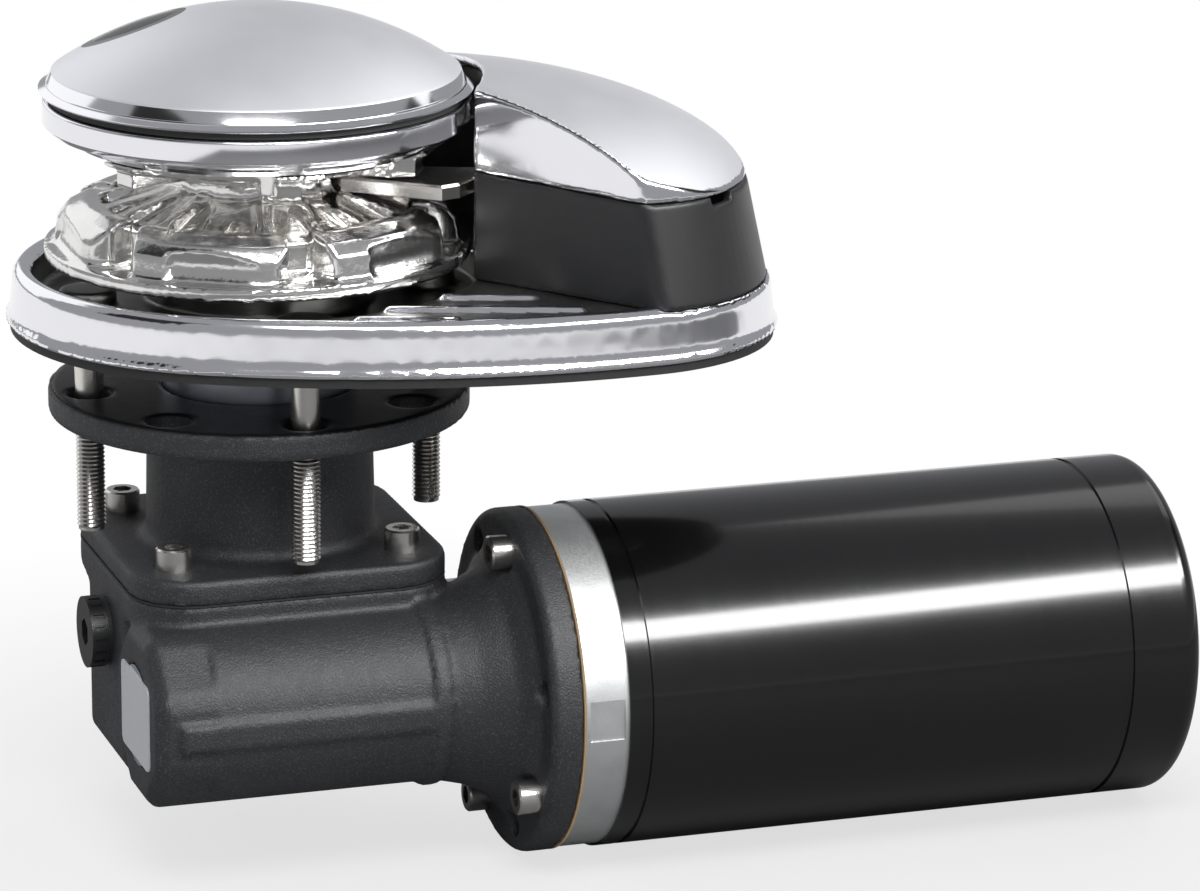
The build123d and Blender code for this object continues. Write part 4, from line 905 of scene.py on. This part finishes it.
def pale_floor():
    """Pale floor, seen as white away from the windlass, with its shadow close by."""
    skin = Finish("pale_floor")
    shade = skin.noise(4.0, 2.0)
    skin.give(Base_Color=skin.blend(shade, colour("floor"), (0.88, 0.88, 0.88)), Roughness=0.7)
    around = skin.stretched((2.6, 3.2, 0.0), move=(-0.3, 0.1, 0.0))
    away = skin.node("ShaderNodeVectorMath", "Value", {"operation": "LENGTH"}, Vector=around)
    share = path_share(skin.tree, away.above(0.95, 0.7) * 0.3 + 0.7)
    white = skin.node("ShaderNodeEmission", "Emission", Color=(1.0, 1.0, 1.0), Strength=1.0)
    mixed = skin.node("ShaderNodeMixShader", 0, Fac=share)
    mixer = mixed.socket.node
    skin.tree.links.new(skin.shader.outputs["BSDF"], mixer.inputs[1])
    skin.tree.links.new(white.socket, mixer.inputs[2])
    output = next(n for n in skin.tree.nodes if n.type == "OUTPUT_MATERIAL")
    skin.tree.links.new(mixed.socket, output.inputs["Surface"])
    return skin.material


def card_stuff(name, tone):
    """Card of one grey, a little uneven."""
    skin = Finish(name)
    shade = skin.noise(3.0, 2.0)
    return skin.give(Base_Color=skin.blend(shade, (tone,) * 3, (tone * 1.2,) * 3), Roughness=0.9)


def card_light(name, strength):
    """Card that shines evenly."""
    skin = Finish(name)
    white = (1.0, 1.0, 1.0)
    return skin.give(Base_Color=(0.0, 0.0, 0.0), Emission_Color=white, Emission_Strength=strength)


def card(name, place, target, width, height, stuff):
    """A flat studio card that only reflections see."""
    deselect()
    bpy.ops.mesh.primitive_plane_add(size=1.0, location=(0, 0, 0))
    made = bpy.context.object
    made.name = name
    turn = (Vector(target) - Vector(place)).to_track_quat("Z", "Y").to_matrix().to_4x4()
    made.data.transform(Matrix.Translation(place) @ turn @ Matrix.Diagonal((width, height, 1, 1)))
    made.data.materials.append(stuff)
    for ray in ("camera", "diffuse", "shadow", "transmission"):
        setattr(made, "visible_" + ray, False)


def lamp(name, place, width, height, power):
    """A softbox aimed at the windlass."""
    data = bpy.data.lights.new(name, "AREA")
    data.shape = "RECTANGLE"
    data.size = width
    data.size_y = height
    data.energy = power
    made = bpy.data.objects.new(name, data)
    bpy.context.collection.objects.link(made)
    made.location = place
    made.rotation_euler = (Vector(STAGE_CENTRE) - Vector(place)).to_track_quat("-Z", "Y").to_euler()


class WINDLASS_OT_stage(bpy.types.Operator):
    """Lays the floor, hangs the softboxes and sets the camera"""

    bl_idname = "windlass.stage"
    bl_label = "Stage"

    def execute(self, context):
        low = min(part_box("motor_tube")[0].z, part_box("gearbox_housing")[0].z)
        deselect()
        bpy.ops.mesh.primitive_plane_add(size=FLOOR_WIDTH, location=(0, 0, low - FLOOR_GAP))
        floor = context.object
        floor.name = "floor"
        floor.data.materials.append(pale_floor())
        black = card_stuff("card_black", BLACK_CARD)
        grey = card_stuff("card_grey", GREY_CARD)
        shine = card_light("strip_light", STRIP_STRENGTH)
        card("left_flag", (-0.85, -0.6, 0.95), (0, 0, 0.08), 0.9, 0.7, black)
        card("right_flag", (1.5, 0.6, 0.9), (0.1, 0, 0), 1.0, 0.6, black)
        card("strip", (1.0, -0.67, 0.8), (0.195, 0.027, -0.122), 1.7, 0.3, shine)
        card("floor_card", (1.3, -0.9, low + MM), (1.3, -0.9, 1.0), 3.5, 2.8, grey)
        lamp("key", (0.2, -1.15, 1.45), 0.9, 0.7, 15.0)
        lamp("back_left", (-1.5, 1.5, 1.0), 2.0, 1.8, 9.0)
        lamp("fill", (0.9, 0.9, 1.2), 0.8, 0.8, 2.5)
        self.world(context)
        self.camera(context)
        return {"FINISHED"}

    def world(self, context):
        world = bpy.data.worlds.new("studio")
        context.scene.world = world
        world.use_nodes = True
        back = world.node_tree.nodes["Background"]
        back.inputs["Color"].default_value = WORLD_COLOUR
        back.inputs["Strength"].default_value = WORLD_STRENGTH

    def camera(self, context):
        data = bpy.data.cameras.new("photo_camera")
        data.sensor_fit = "HORIZONTAL"
        data.sensor_width = SENSOR_WIDTH
        data.lens = CAMERA_LENS
        made = bpy.data.objects.new("photo_camera", data)
        context.collection.objects.link(made)
        turn = Matrix.Rotation(CAMERA_HEADING - math.pi / 2, 4, "Z")
        turn @= Matrix.Rotation(math.pi / 2 + CAMERA_PITCH, 4, "X")
        turn @= Matrix.Rotation(CAMERA_ROLL, 4, "Z")
        made.matrix_world = Matrix.Translation(CAMERA_PLACE) @ turn
        context.scene.camera = made
        context.scene.view_settings.view_transform = "Standard"


PIECES = (
    WINDLASS_OT_cad_finishes,
    WINDLASS_OT_cap,
    WINDLASS_OT_clutch_ring,
    WINDLASS_OT_chain_wheel,
    WINDLASS_OT_base_plate,
    WINDLASS_OT_chain_cover,
    WINDLASS_OT_gearbox,
    WINDLASS_OT_stage,
)


class WINDLASS_PT_panel(bpy.types.Panel):
    """Lists the windlass's operators, sizes and colours"""

    bl_idname = "WINDLASS_PT_panel"
    bl_label = "Windlass"
    bl_space_type = "VIEW_3D"
    bl_region_type = "UI"
    bl_category = "Windlass"

    def draw(self, context):
        for piece in PIECES:
            self.layout.operator(piece.bl_idname)
        for group in (context.scene.windlass_sizes, context.scene.windlass_colours):
            for name in group.bl_rna.properties.keys():
                if name not in ("rna_type", "name"):
                    self.layout.prop(group, name)


CLASSES = (WindlassColours, WindlassSizes, *PIECES, WINDLASS_PT_panel)


def register():
    for item in CLASSES:
        bpy.utils.register_class(item)
    bpy.types.Scene.windlass_colours = bpy.props.PointerProperty(type=WindlassColours)
    bpy.types.Scene.windlass_sizes = bpy.props.PointerProperty(type=WindlassSizes)


def unregister():
    del bpy.types.Scene.windlass_sizes
    del bpy.types.Scene.windlass_colours
    for item in reversed(CLASSES):
        bpy.utils.unregister_class(item)


def main():
    register()
    for piece in PIECES:
        group, name = piece.bl_idname.split(".")
        getattr(getattr(bpy.ops, group), name)()


if __name__ == "__main__":
    main()
